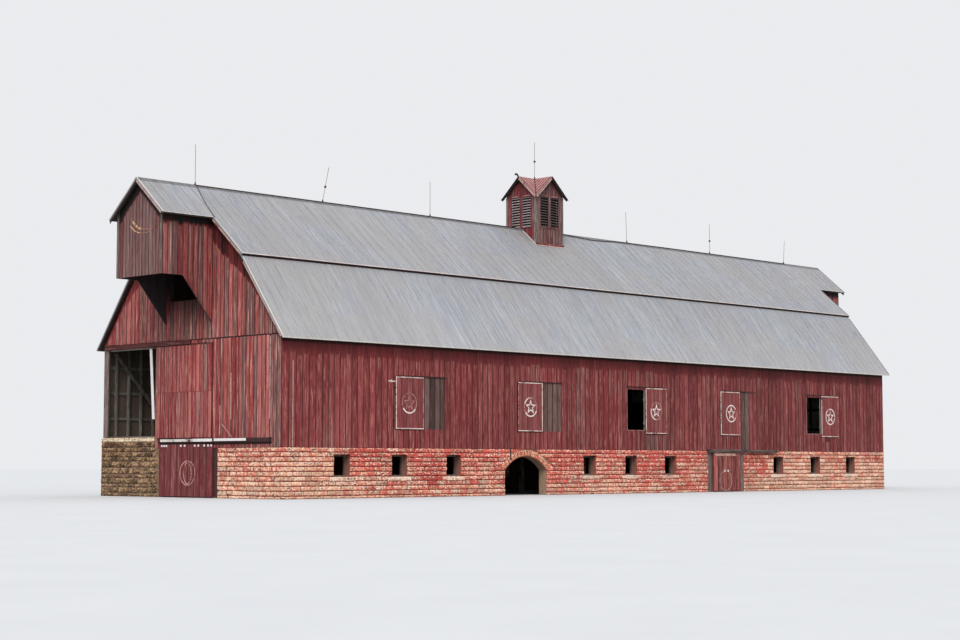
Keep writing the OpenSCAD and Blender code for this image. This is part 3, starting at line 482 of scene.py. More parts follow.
def weathered_boards_group():
    """Paint that chalks in streaks along each board, wears off to bare wood, and lasts under the roof. Shade is
    painted in under the roof's edges, eaves and hoods, in the loft, on the cupola's front face and along the
    seams; light is painted in far inside and as a gradient along the wall.
    """
    bench, given, give = new_group("weathered boards", {
        "Paint": paint(120, 54, 54), "Chalk": paint(170, 110, 102), "Wood": paint(108, 90, 84),
        "Fleck": paint(210, 150, 140), "Seam": paint(62, 32, 32), "Paint loss": 0.0, "Chalk share": 0.6,
        "Fleck share": 0.5, "Board contrast": 0.35, "Seam share": 0.75, "Shelter": -9.0, "Eave shade": -9.0,
        "Hood shade": 0.0, "Loft shade": 0.0, "Outside dark": 0.0, "Deep inside": 0.0,
        "End light": 0.0, "Front shade": 0.0, "Stretch": (26.0, 26.0, 1.3)})
    place = bench.add("TexCoord", "Object")
    tone, bare, side = bench.value_of("tone"), bench.value_of("bare"), abs(bench.value_of("side"))
    moved = bench.vector("ADD", place, bench.point(tone * 13.7, tone * 7.3, tone * 31.1))
    along = bench.vector("MULTIPLY", moved, given["Stretch"])
    streaks = bench.noise(along, 1.0, 4.0, 0.62)
    runs = bench.noise(bench.vector("ADD", along, (7.0, 3.0, 11.0)), 1.6, 3.0, 0.6)
    threads = bench.noise(along, 2.7, 3.0, 0.6)
    grain = bench.noise(along, 9.0, 2.0, 0.6)
    clouds = bench.noise(place, 0.55, 3.0, 0.6)
    spots = bench.noise(moved, 7.0, 3.0, 0.62)
    hue, other_hue = bench.near_number(tone, 7.31), bench.near_number(tone, 23.7)

    x, y, z = bench.parts(place)
    off_ridge = abs(y)
    roof = bench.maths("MINIMUM", ridge_z - upper_slope * off_ridge,
                       lower_top_z + break_half * lower_slope - lower_slope * off_ridge)
    depth, high = roof - z, z.mask(3.9, 4.9)
    reach = 0.05 * side * side + 0.08 * hue + depth
    # The paint lasts under the roof's edges, and the same mask darkens the boards there as painted shade.
    shelter_and_shade = (reach - given["Shelter"] * (1.0 + 1.6 * high)).mask(0.02, 0.10, 1.0, 0.0)
    shaded = (depth - given["Eave shade"]).mask(-0.02, 0.03, 1.0, 0.0)
    closed_in = bench.most(off_ridge.mask(0.66, 0.71, 1.0, 0.0), z.mask(4.0, 4.3) * y.mask(0.60, 0.64))
    under_hood = off_ridge.mask(0.72, 1.05, 1.0, 0.0) * z.mask(3.35, 4.45) * given["Hood shade"]
    under_hood = under_hood * abs(x).mask(11.02, 11.06, 1.0, 0.0) * (0.58 + 0.42 * closed_in)
    loft = z.mask(3.3, 4.2, 0.0, 0.8) * given["Loft shade"]

    wear = (0.55 * streaks + 0.22 * threads + 0.30 * clouds + 0.20 * spots + 0.24 * hue + 0.45 * bare
            - 0.30 * shelter_and_shade + given["Paint loss"])
    worn = wear.mask(0.81, 0.92)
    chalk = 0.60 * runs + 0.30 * threads + 0.10 * spots + 0.16 * other_hue - 0.10 * shelter_and_shade
    flecks = 0.55 * streaks - 0.55 * runs + 0.60 * threads - 0.2 * shelter_and_shade
    painted = bench.blend(chalk.mask(0.53, 0.67) * given["Chalk share"], given["Paint"], given["Chalk"])
    wood = bench.blend(threads.mask(0.40, 0.62, 0.0, 0.55), given["Wood"], given["Chalk"])
    colour = bench.blend(worn, painted, wood)
    colour = bench.blend(flecks.mask(0.355, 0.42) * given["Fleck share"], colour, given["Fleck"])
    # Painted shade in the seam colour along each board's edges, widening the shadow of the gaps.
    edge = (side + 0.20 * threads).mask(0.90, 1.02)
    colour = bench.blend(edge * (1.0 - shelter_and_shade) * given["Seam share"], colour, given["Seam"])
    colour = bench.blend(0.45 * edge * shelter_and_shade, colour, given["Chalk"])
    # Painted shade under the roof's edges, strongest high up, and a painted gradient of light along the wall.
    level = (1.0 + (tone - 0.5) * given["Board contrast"] + 0.50 * (clouds - 0.5) + 1.15 * (streaks - 0.5)
             + 0.60 * (grain - 0.5) - 0.20 * shelter_and_shade - 0.58 * shelter_and_shade * high
             - 1.0 / half_length * x * given["End light"])
    level = level * threads.mask(0.33, 0.42, 0.50, 1.0) * (1.0 - 0.82 * shaded) * (1.0 - 0.95 * under_hood)
    faces_front = y.mask(-0.445, -0.425, 1.0, 0.0) * given["Front shade"]
    colour = bench.shade(colour, level * (1.0 - loft) * (1.0 - faces_front))
    # Painted light: the boards far inside the barn are lightened towards a pale colour.
    colour = bench.blend(x.mask(-8.0, -3.0) * given["Deep inside"], colour, paint(236, 232, 226))
    # Painted shade: the outer faces of the boarding behind take the seam colour, so the gaps between the boards
    # in front look shadowed.
    colour = bench.blend(outer_skin(bench, x, y) * given["Outside dark"], colour, given["Seam"])
    return give(colour, 0.14 * worn + grain.mask(0.2, 0.8, 0.68, 0.84),
                0.45 * grain + 0.55 * threads - 0.3 * worn)


def washed_stone_group():
    """Broken stone under the rest of a red wash, with a painted highlight where it swells and painted shade
    along its foot and in its hollows.
    """
    bench, given, give = new_group("washed stone", {
        "Wash": paint(206, 112, 92), "Stone": paint(238, 196, 164), "Pale": paint(250, 222, 200),
        "Joint": paint(132, 52, 42), "Wash level": 0.0, "Block contrast": 0.30, "Foot share": 0.75,
        "Edge share": 0.7, "Lump size": 1.0, "Inside": paint(176, 140, 120), "Inside share": 0.0})
    place = bench.add("TexCoord", "Object")
    tone, bare, hollow, rise = (bench.value_of(label) for label in ("tone", "bare", "hollow", "rise"))
    x, y, z = bench.parts(place)
    ends = bench.most(x.mask(-9.7, -9.1, 1.0, 0.0), x.mask(4.6, 6.0))
    sized = bench.vector("MULTIPLY", place, bench.point(*[given["Lump size"]] * 3))
    patches = bench.noise(place, 0.9, 3.0, 0.6)
    lumps = bench.noise(sized, 9.0, 3.0, 0.6)
    broken = bench.noise(bench.vector("MULTIPLY", sized, (1.0, 1.0, 1.7)), 17.0, 4.0, 0.65)
    grit = bench.noise(place, 95.0, 2.0, 0.6)
    hue = bench.near_number(tone, 11.3)

    washed = (0.42 * z + 0.80 * patches + 1.10 * lumps + 0.34 * hue - 0.10 * bare - 0.36 * ends
              + given["Wash level"]).mask(0.85, 1.75)
    colour = bench.blend(washed, given["Stone"], given["Wash"])
    # Painted highlight where the broken face swells, a little more towards each block's top.
    pale = 0.95 * broken - 0.35 * lumps + 0.06 * rise + 0.06 * bare - 0.06 * washed
    colour = bench.blend(pale.mask(0.28, 0.42, 0.0, 0.88), colour, given["Pale"])
    # Painted shade in the dark colour of the joints: in the hollows of the broken face and along each block's
    # foot. Along the block edges that colour stands for the joints themselves.
    for share in ((0.50 * broken + 0.50 * lumps).mask(0.46, 0.38, 0.0, 0.85),
                  (1.1 * broken + rise).mask(-0.32, 0.22, 1.0, 0.0) * given["Foot share"],
                  (0.4 * broken + hollow).mask(0.72, 1.0) * given["Edge share"]):
        colour = bench.blend(share, colour, given["Joint"])
    within = 1.0 - outer_skin(bench, x, y)
    colour = bench.blend(within * given["Inside share"], colour, given["Inside"])
    level = 1.0 + (tone - 0.5) * given["Block contrast"] + 0.8 * (broken - 0.5) + 0.35 * (grit - 0.5)
    return give(bench.shade(colour, level), grit.mask(0.2, 0.8, 0.84, 0.96), 0.2 * grit + broken)


def sheet_metal_group():
    """Galvanised sheet that dulls in long runs down the slope, with dark board on its underside, painted shade
    along the sides of the ribs and painted light towards the eaves.
    """
    bench, given, give = new_group("sheet metal", {
        "Metal": paint(157, 158, 164), "Run": paint(186, 187, 190), "Dirt": paint(122, 118, 118),
        "Warm": paint(176, 170, 164), "Warm share": 0.5, "Foot light": 0.0,
        "Under": paint(92, 80, 72), "Dirt share": 0.35, "Sheet contrast": 0.10, "Rib shade": 0.0,
        "Stretch": (20.0, 1.0, 1.0)})
    place = bench.add("TexCoord", "Object")
    tone, side = bench.value_of("tone"), abs(bench.value_of("side"))
    along = bench.vector("MULTIPLY", place, given["Stretch"])
    runs = bench.noise(along, 1.0, 4.0, 0.62)
    thin_runs = bench.noise(along, 4.5, 4.0, 0.6)
    dashes = bench.noise(bench.vector("MULTIPLY", place, (15.0, 2.4, 2.4)), 1.0, 4.0, 0.7)
    patches = bench.noise(place, 0.35, 3.0, 0.6)
    other_patches = bench.noise(bench.vector("ADD", place, (17.0, 5.0, 3.0)), 0.5, 4.0, 0.65)
    specks = bench.noise(place, 60.0, 3.0, 0.6)
    colour = bench.blend((0.5 * runs + 0.5 * thin_runs).mask(0.40, 0.64), given["Metal"], given["Run"])
    colour = bench.blend(other_patches.mask(0.42, 0.58) * given["Warm share"], colour, given["Warm"])
    dirt = (0.6 * thin_runs + 0.5 * patches).mask(0.56, 0.78) * given["Dirt share"]
    colour = bench.blend(dirt, colour, given["Dirt"])
    # Painted shade along the sides of the ribs, in the dirt colour, broken into dashes.
    rib_side = side.mask(0.35, 0.75) * dashes.mask(0.36, 0.60, 0.25, 1.0) * given["Rib shade"]
    colour = bench.blend(rib_side, colour, given["Dirt"])
    level = (1.0 + (tone - 0.5) * given["Sheet contrast"] + 0.25 * (patches - 0.5) + 0.50 * (dashes - 0.5)
             + 0.14 * (specks - 0.5) + bench.parts(place)[2].mask(3.2, 5.0, 1.0, 0.0) * given["Foot light"])
    below = bench.parts(bench.add("NewGeometry", "Normal"))[2].mask(-0.30, -0.15, 1.0, 0.0)
    under = bench.shade(given["Under"], thin_runs.mask(0.3, 0.7, 0.7, 1.25))
    return give(bench.blend(below, bench.shade(colour, level), under),
                bench.most(thin_runs.mask(0.3, 0.7, 0.46, 0.62), 0.85 * below), 0.2 * specks + runs)


def flaked_paint_group():
    """Thick old paint that has come off in flakes and shows what lies under it."""
    bench, given, give = new_group("flaked paint", {
        "Paint": paint(226, 216, 210), "Under": paint(110, 62, 58), "Kept": 0.5, "Flake size": 1.0})
    place = bench.add("TexCoord", "Object")
    tone = bench.value_of("tone")
    moved = bench.vector("ADD", place, bench.point(tone, tone, tone))
    flakes = bench.noise(moved, 16.0 * given["Flake size"], 5.0, 0.7)
    long_flakes = bench.noise(moved, 5.0 * given["Flake size"], 3.0, 0.6)
    chips = bench.noise(place, 90.0, 3.0, 0.6)
    kept = (0.6 * flakes + 0.5 * long_flakes + 0.12 * chips + given["Kept"]).mask(1.04, 1.14)
    level = 1.0 + 0.5 * (chips - 0.5) + 0.5 * (long_flakes - 0.5)
    colour = bench.shade(bench.blend(kept, given["Under"], given["Paint"]), level)
    return give(colour, kept.mask(0.0, 1.0, 0.9, 0.62), 0.3 * chips + kept)


def rusted_iron_group():
    """Dark iron with brown rust in patches."""
    bench, given, give = new_group("rusted iron", {
        "Iron": paint(58, 56, 56), "Rust": paint(104, 66, 48), "Rust share": 0.5})
    place = bench.add("TexCoord", "Object")
    patches, pits = bench.noise(place, 9.0, 5.0, 0.65), bench.noise(place, 140.0, 3.0, 0.6)
    rust = (0.3 * pits + patches).mask(0.50, 0.80) * given["Rust share"]
    colour = bench.shade(bench.blend(rust, given["Iron"], given["Rust"]), 1.0 + 0.6 * (pits - 0.5))
    return give(colour, rust.mask(0.0, 0.5, 0.5, 0.85), pits)


groups = {
    "boards": weathered_boards_group(), "stone": washed_stone_group(), "metal": sheet_metal_group(),
    "flaked": flaked_paint_group(), "iron": rusted_iron_group()}
finishes = {}


def finish(look, name, group, metallic=0.0, specular=0.3, bump=0.5, depth=0.004, **values):
    """A material: one shared group feeds the shader's colour, roughness and bump."""
    finishes[look] = material = bpy.data.materials.new(name)
    bench = clear_bench(material)
    shared = bench.tree.nodes.new("ShaderNodeGroup")
    shared.node_tree = groups[group]
    for label, value in values.items():
        socket = shared.inputs[label.replace("_", " ").capitalize()]
        socket.default_value = paint(*value) if socket.type == "RGBA" else value
    colour, roughness, height = (Value(bench, output) for output in shared.outputs)
    raised = bench.add("Bump", 0, {"Strength": bump, "Distance": depth, "Height": height})
    bench.end(bench.add("BsdfPrincipled", 0, {
        "Base Color": colour, "Roughness": roughness, "Metallic": metallic, "Specular IOR Level": specular,
        "Normal": raised}))


def wood(look, name, colour, chalk, bare, **values):
    finish(look, name, "boards", paint=colour, chalk=chalk, wood=bare, **values)


def rock(look, name, wash, stone, pale, joint, **values):
    finish(look, name, "stone", wash=wash, stone=stone, pale=pale, joint=joint, **values)


def sheet(look, name, metal, metallic=0.1, bump=0.2, **values):
    finish(look, name, "metal", metallic, bump=bump, metal=metal, **values)


def flake(look, name, colour, under, kept, **values):
    finish(look, name, "flaked", bump=0.4, depth=0.002, paint=colour, under=under, kept=kept, **values)


lengthwise, crosswise = (1.3, 22.0, 22.0), (22.0, 1.3, 22.0)

wood("wall_boards", "red barn boards", (131, 49, 51), (168, 92, 88), (112, 80, 76), shelter=0.5,
     eave_shade=0.285, board_contrast=0.34, paint_loss=-0.02, fleck=(206, 142, 132), end_light=0.13)
wood("bare_boards", "bare grey wall boards", (100, 72, 68), (126, 100, 94), (90, 70, 66),
     fleck=(150, 126, 120), seam=(34, 22, 22), board_contrast=0.9)
wood("gable_boards", "worn red gable boards", (160, 59, 60), (192, 120, 113), (110, 84, 81), shelter=0.22,
     eave_shade=0.15, hood_shade=1.0, board_contrast=0.42, chalk_share=0.7, fleck_share=0.8, paint_loss=0.02,
     fleck=(226, 168, 154), stretch=(34.0, 34.0, 1.0))
wood("hood_boards", "greyed hood boards", (132, 59, 61), (160, 104, 101), (120, 98, 96), shelter=0.11,
     eave_shade=0.26, board_contrast=0.45, chalk_share=0.6, fleck_share=0.45, paint_loss=0.08,
     fleck=(184, 146, 140), stretch=(34.0, 34.0, 1.0))
wood("cheek_boards", "red hood cheek boards", (142, 54, 55), (172, 104, 98), (118, 88, 84), shelter=0.11,
     eave_shade=0.26, board_contrast=0.55, chalk_share=0.6, fleck_share=0.6, fleck=(198, 150, 142),
     stretch=(34.0, 34.0, 1.0))
wood("hood_inside", "dark inside of the hoods", (70, 60, 64), (88, 78, 80), (66, 58, 60), fleck=(92, 82, 82),
     seam=(42, 34, 36))
wood("shutter_boards", "red shutter boards", (142, 66, 67), (170, 108, 105), (124, 92, 88), paint_loss=-0.16,
     chalk_share=0.4, fleck_share=0.2, seam_share=0.35)
wood("door_boards", "red door boards", (120, 50, 54), (156, 94, 92), (108, 80, 78), paint_loss=-0.06,
     chalk_share=0.5, fleck_share=0.3)
wood("pink_board", "faded pink board", (176, 84, 80), (210, 144, 130), (140, 96, 88), paint_loss=-0.2,
     chalk_share=0.8, fleck_share=0.6)
wood("stable_boards", "worn red stable door boards", (132, 56, 54), (182, 112, 102), (116, 84, 78),
     paint_loss=0.0, chalk_share=0.7, fleck_share=0.6)
# The boarding behind: painted shade on its outer faces for the gaps, and painted light far inside.
wood("siding_back", "old boards behind", (112, 96, 84), (140, 124, 110), (96, 82, 72), fleck=(110, 96, 88),
     seam=(34, 20, 20), outside_dark=1.0, loft_shade=0.6, deep_inside=1.0)
# Dark painted shadow for the gaps behind boards, the break in the roof, the cupola's louvres, valleys and most
# of its rakes.
wood("seam_dark", "dark painted shadow", (44, 24, 24), (58, 34, 32), (48, 34, 30), fleck=(64, 40, 38),
     seam=(30, 18, 18))
wood("dark_timber", "dark brown timber", (64, 38, 36), (96, 66, 62), (70, 52, 48), fleck=(112, 84, 78),
     stretch=lengthwise)
wood("rake_timber", "black rake timber", (56, 46, 48), (78, 66, 66), (60, 52, 52), fleck=(92, 78, 76),
     stretch=lengthwise)
wood("window_timber", "grey window timber", (128, 116, 108), (156, 142, 132), (104, 92, 86),
     fleck=(170, 156, 146))
wood("grey_upright", "grey upright timber", (126, 106, 100), (168, 148, 140), (102, 88, 84),
     fleck=(196, 184, 178), seam=(60, 46, 44))
wood("grey_lengthwise", "grey long timber", (118, 102, 98), (160, 146, 140), (96, 84, 80),
     fleck=(186, 172, 166), seam=(58, 44, 42), stretch=lengthwise)
wood("grey_crosswise", "grey cross timber", (130, 118, 110), (166, 154, 146), (104, 94, 88),
     fleck=(186, 174, 166), seam=(60, 48, 44), stretch=crosswise)
wood("frame_timber", "barn frame timber", (128, 124, 114), (156, 152, 140), (98, 92, 82),
     fleck=(174, 168, 156), stretch=(9.0, 9.0, 2.0), loft_shade=1.0)
wood("brown_lengthwise", "brown long timber", (92, 68, 62), (134, 112, 104), (88, 70, 64),
     fleck=(160, 140, 132), seam=(50, 34, 32), stretch=lengthwise)
wood("red_lengthwise", "red long boards", (118, 50, 50), (168, 108, 102), (106, 84, 78), stretch=lengthwise)
wood("rim_red", "red louvre rims", (112, 42, 48), (134, 74, 74), (92, 60, 60), fleck_share=0.2)
wood("rim_dark", "dark louvre rims", (96, 62, 64), (134, 104, 102), (84, 68, 68), fleck_share=0.4)
wood("red_crosswise", "red cross boards", (96, 44, 44), (130, 78, 74), (92, 70, 66), stretch=crosswise,
     fleck_share=0.2)
rock("front_stone", "rock-faced stone", (220, 96, 84), (250, 188, 152), (255, 228, 204), (140, 42, 38),
     bump=0.8, depth=0.012, wash_level=0.18, block_contrast=0.44)
rock("buff_stone", "buff stone", (216, 112, 88), (238, 168, 134), (250, 212, 184), (150, 64, 52), bump=0.6,
     depth=0.008, wash_level=-0.05, foot_share=0.2, edge_share=1.0)
rock("rubble", "old rubble", (122, 76, 54), (108, 88, 64), (184, 148, 114), (44, 32, 26), bump=0.9,
     depth=0.02, wash_level=0.05, block_contrast=0.9, lump_size=0.8, foot_share=0.6)
rock("ledge_stone", "cream ledge stone", (226, 178, 142), (246, 220, 182), (255, 240, 214), (150, 104, 76),
     bump=0.7, depth=0.01, wash_level=-0.3, foot_share=0.6, edge_share=0.6)
rock("mortar", "mortar", (150, 62, 52), (166, 92, 74), (190, 126, 102), (112, 44, 38), bump=0.7, depth=0.008,
     wash_level=0.1, foot_share=0.0, edge_share=0.0, inside=(164, 110, 96), inside_share=0.85)
rock("reveal", "arch stone", (132, 80, 64), (150, 116, 94), (184, 150, 124), (90, 50, 42), bump=0.7,
     depth=0.008, wash_level=-0.1, foot_share=0.0, edge_share=0.0, inside=(196, 166, 140), inside_share=0.85)
rock("sill_stone", "sill stone", (234, 144, 122), (250, 204, 176), (255, 236, 218), (156, 66, 54), bump=0.7,
     depth=0.01, wash_level=-0.1, foot_share=0.9, edge_share=0.3)
sheet("roof_metal", "galvanised roof sheet", (155, 157, 166), metallic=0.35, specular=0.4, bump=0.25,
      foot_light=0.1)
sheet("roof_ribs", "galvanised roof ribs", (166, 167, 174), metallic=0.35, specular=0.4, bump=0.25,
      run=(206, 206, 210), dirt=(92, 91, 97), rib_shade=1.0, foot_light=0.14)
sheet("roof_edge", "pale roof edge", (220, 212, 204), run=(238, 234, 228), dirt_share=0.5, warm_share=0.0)
sheet("break_edge", "pale edge of the upper roof", (196, 182, 176), run=(232, 218, 212), dirt_share=0.8,
      warm_share=0.0, stretch=(3.0, 3.0, 3.0))
# Darker ridge metal as painted shade along the ridge cap.
sheet("shaded_ridge", "ridge metal in painted shade", (112, 110, 112), metallic=0.2, bump=0.25, run=(140, 138, 140),
      dirt_share=0.5, warm_share=0.0)
sheet("dark_edge", "dark edge of the far roof end", (70, 68, 70), run=(96, 94, 96), dirt_share=0.5,
      warm_share=0.0)
sheet("faded_roof", "faded red roof sheet", (120, 52, 56), metallic=0.0, bump=0.3, run=(160, 98, 98),
      dirt=(84, 36, 38), dirt_share=0.9, warm_share=0.0, stretch=(16.0, 16.0, 1.2))
sheet("pale_rib", "pale roof rib", (188, 136, 132), metallic=0.0, run=(216, 180, 174), dirt=(120, 60, 60),
      dirt_share=0.5, rib_shade=0.3, warm_share=0.0, stretch=(9.0, 9.0, 9.0))
flake("pale_trim", "flaking pink trim", (200, 168, 160), (140, 86, 82), 0.55)
flake("white_trim", "flaking white trim", (250, 222, 214), (158, 92, 90), 0.54, flake_size=1.3)
flake("white_board", "white painted board", (255, 248, 246), (176, 146, 140), 0.7)
flake("cover_board", "worn white cover board", (228, 220, 214), (104, 84, 80), 0.5, flake_size=0.6)
flake("old_white_paint", "worn ring paint", (255, 238, 232), (196, 136, 130), 0.56, flake_size=1.2)
flake("old_cream_paint", "worn cream ring paint", (222, 180, 142), (150, 92, 80), 0.5, flake_size=1.0)
flake("faint_cream", "faint cream ring paint", (174, 120, 96), (126, 66, 64), 0.5, flake_size=1.0)
flake("faint_pink", "worn pink paint", (214, 168, 152), (132, 66, 62), 0.53, flake_size=2.0)
flake("faint_ring", "faint ring paint", (200, 150, 142), (140, 78, 76), 0.5, flake_size=1.4)
wood("cupola_red", "red cupola boards", (124, 44, 52), (152, 84, 84), (112, 80, 80), paint_loss=-0.05,
     chalk_share=0.4, fleck_share=0.3)
wood("cupola_worn", "worn cupola boards", (116, 54, 58), (158, 108, 106), (108, 88, 86), paint_loss=0.12,
     board_contrast=0.6, chalk_share=0.7, fleck_share=0.6)
wood("louvre_paint", "louvre paint", (172, 156, 154), (206, 194, 190), (134, 120, 118), fleck=(222, 210, 206),
     seam=(100, 88, 86), front_shade=0.75, stretch=(3.0, 3.0, 26.0))
finish("iron", "dark iron", "iron", metallic=0.3, specular=0.4, bump=0.3, depth=0.001)

slots = {look: slot for slot, looks in {
    "rock_faced_stone": "front_stone",
    "buff_stone": "buff_stone rubble ledge_stone sill_stone",
    "red_boards": """wall_boards gable_boards hood_boards cheek_boards shutter_boards door_boards pink_board
        stable_boards cupola_red cupola_worn red_crosswise red_lengthwise rim_red rim_dark""",
    "bare_timber": "bare_boards grey_upright grey_crosswise grey_lengthwise",
    "dark_timber": "dark_timber seam_dark",
    "faded_white_boards": """pale_trim white_trim white_board cover_board old_white_paint old_cream_paint
        faint_cream faint_pink faint_ring""",
    "galvanised_roof": "roof_metal roof_ribs roof_edge dark_edge break_edge",
    "faded_red_roof": "pale_rib", "dark_iron": "iron"}.items() for look in looks.split()}

for look, names in {
        "mortar": """front_stone_west front_stone_middle front_stone_east rear_stone_wall
            west_gable_stone_south east_gable_stone""",
        "reveal": "front_stone_arch arch_ring west_gable_stone_north",
        "sill_stone": "window_sills",
        "window_timber": "window_frames",
        "grey_upright": "stable_door_frames",
        "frame_timber": "basement_posts floor_frame long_wall_frames gable_frames rafters",
        "grey_crosswise": "main_floor",
        "siding_back": "front_siding rear_siding west_gable_lower west_gable_upper east_gable_siding",
        "hood_inside": "hay_hoods",
        "white_board": "leaning_jamb_board",
        "roof_metal": "lower_roof upper_roof hood_roofs",
        "shaded_ridge": "ridge_cap",
        "rake_timber": "rake_boards",
        "seam_dark": "shutters cupola_walls",
        "dark_timber": "shutter_rails west_door_gear",
        "red_crosswise": "wagon_door_gear",
        "brown_lengthwise": "front_door_gear",
        "door_boards": "wagon_door west_stable_door",
        "stable_boards": "front_stable_door",
        "iron": "wagon_door_hangers west_door_hangers front_door_hangers lightning_rods",
        "louvre_paint": "cupola_louvres",
        "faded_roof": "cupola_roof"}.items():
    for name in names.split():
        materials = nodes[name].data.materials
        materials.clear()
        materials.append(finishes[look])

# Patterns, each modelled once

board, lath, rib = ([take_pattern(model_board(*sizes), False)]
                    for sizes in ((0.17, 0.02, 0.003), (0.05, 0.01, 0.0015), (0.03, 0.012, 0.006)))
rock_faces = [take_pattern(model_stone(seed, 0.27, course_height, 0.005, 0.010, 0.004), True)
              for seed in range(8)]
rubble_faces = [take_pattern(model_stone(40 + seed, 0.2, 0.12, 0.006, 0.012, 0.008), True)
                for seed in range(6)]

# Places and board sizes that several pieces share

front_wall, rear_wall = on_wall("front", -half_width), on_wall("rear", half_width)
west_wall, east_wall = on_wall("west", -half_length), on_wall("east", half_length)
rubble_face = on_wall("west", -10.983)
west_leaf_face, front_leaf_face = on_wall("west", -11.011), on_wall("front", -3.086)
leaf_proud, leaf_gap = (0.002, 0.0038), 0.004
shutter_plane, ring_plane, paint_plane = 3.068, -3.0722, -3.0728

# Stone storey


def window_holes(centres):
    """What the windows and their sills take out of a stone wall."""
    holes = [(c - window_half, window_foot, c + window_half, window_head) for c in centres]
    return holes + [(c - window_half - sill_horn, sill_foot, c + window_half + sill_horn, window_foot)
        for c in centres]


def above_springing(across, along):
    return along - arch_z > abs(across - arch_x) * (arch_spring - arch_z) / arch_half


def clear_of_arch(local):
    """Pushes the blocks beside the arch out to its ring."""
    across, along = local[:, 0] - arch_x, local[:, 1] - arch_z
    reach = np.hypot(across, along)
    inside = (reach < ring_radius) & (along > np.abs(across) * 0.874)
    scale = np.where(inside, ring_radius / np.maximum(reach, 1e-6), 1)
    local[:, 0] = arch_x + across * scale
    local[:, 1] = arch_z + along * scale
    return local


def within_arch(across, along):
    return math.hypot(across - arch_x, along - arch_z) < ring_radius - 0.015 and above_springing(across,
        along)


def front_proud(across):
    """Blocks stay flat where the stable door leaf slides."""
    return (0.003, 0.008) if 2.6 < across < 5.9 else (0.008, 0.02)


front_holes = window_holes(front_windows) + [(arch_x - arch_half, 0, arch_x + arch_half, arch_spring),
    (2.84, 0, 4.34, stone_top)]
lay("front_wall_blocks", rock_faces, stone_courses(-half_length - 0.008, half_length + 0.008, 0, stone_top,
    front_holes, front_proud, drop=within_arch), on_wall("front", -half_width, clear_of_arch), "front_stone")
lay("rear_wall_blocks", rock_faces, stone_courses(-half_length + 0.3, half_length + 0.008, 0, stone_top,
    window_holes(rear_windows), (0.008, 0.02)), rear_wall, "front_stone")
lay("west_gable_blocks", rock_faces, stone_courses(-half_width - 0.008, -1.025, 0, stone_top, (),
    (0.003, 0.008)), west_wall, "front_stone")
lay("east_gable_blocks", rock_faces, stone_courses(-half_width - 0.008, half_width + 0.008, 0, stone_top,
    window_holes(east_windows), (0.008, 0.02)), east_wall, "front_stone")

wedge_count = 15
spring_angle = math.atan2(arch_spring - arch_z, arch_half)
wedge = (math.pi - 2 * spring_angle) / wedge_count


def on_ring(local):
    angle, reach, out = local.T
    return np.stack((arch_x + reach * np.cos(angle), -half_width - out, arch_z + reach * np.sin(angle)), 1)


lay("arch_wedges", rock_faces, [(spring_angle + i * wedge + 0.008, arch_radius + 0.002, -0.004, spring_angle
    + (i + 1) * wedge - 0.008, ring_radius - 0.004, chance.uniform(0.016, 0.024), chance.random(),
    chance.random()) for i in range(wedge_count)], on_ring, "buff_stone")


def rubble_proud(across):
    """Rubble stays flat behind the stable door leaf's edge."""
    return (0.0005, 0.001) if across < 1.10 else (0.008, 0.02)


lay("rubble_end", rubble_faces, stone_courses(0.875, 3.11, 0, 1.17, ((0.8, stone_top, 1.15, 1.3),),
    rubble_proud, 0.012, 0.07, 0.3, 0.105, uneven=0.35), rubble_face, "rubble")
lay("rubble_corner", rubble_faces, stone_courses(-10.983, -10.7, 0, 1.17, (), (0.006, 0.016), 0.012, 0.07,
    0.3, 0.105, uneven=0.35), on_wall("rear", 3.11), "rubble")
ledge_joints = (1.155, 1.44, 1.72, 1.96, 2.25, 2.47, 2.66, 2.90, 3.145)
# The ledge stands out below the wagon leaf's foot and is nearly flat where the leaf passes it
lay("wagon_ledge", rubble_faces, [(a, foot, low, b - 0.008, head, reach, chance.random(), 0.8)
    for a, b in zip(ledge_joints, ledge_joints[1:]) for foot, head, low, reach in ((1.176, 1.234, -0.004,
    0.008), (1.236, 1.262, 0.0, 0.0006))], rubble_face, "ledge_stone")


def sill_spots(centres):
    """A broken face for each sill, in two lengths."""
    reach = window_half + sill_horn
    spots = []
    for c in centres:
        cut = c + chance.uniform(-0.12, 0.12)
        for a, b in ((c - reach, cut), (cut, c + reach)):
            spots.append((a, sill_foot, -0.004, b - 0.002, window_foot, 0.006, chance.random(), 0.8))
    return spots


for side, plane, centres in (("front", -half_width - 0.012, front_windows),
        ("rear", half_width + 0.012, rear_windows), ("east", half_length + 0.012, east_windows)):
    lay("sill_faces_" + side, rock_faces, sill_spots(centres), on_wall(side, plane), "sill_stone")

# Boarded walls

wall_holes = [(c - shutter_half, shutter_foot, c + shutter_half, shutter_head) for c in shutter_centres]
bare_places = [(-7.05, leaf_foot, -6.445, leaf_head), (-3.285, leaf_foot, -2.675, leaf_head),
    (4.245, 1.032, 4.6, leaf_head)]
faint_places = [(0.375, 1.032, 1.185, leaf_foot), (7.88, 1.032, 8.30, 1.30)]


def under_lower_roof(local):
    local[:, 1] = np.minimum(local[:, 1], lower_under(half_width + local[:, 2]) - 0.003)
    return local


def under_gable_roof(local):
    local[:, 1] = np.minimum(local[:, 1], gable_line(local[:, 0]))
    return local


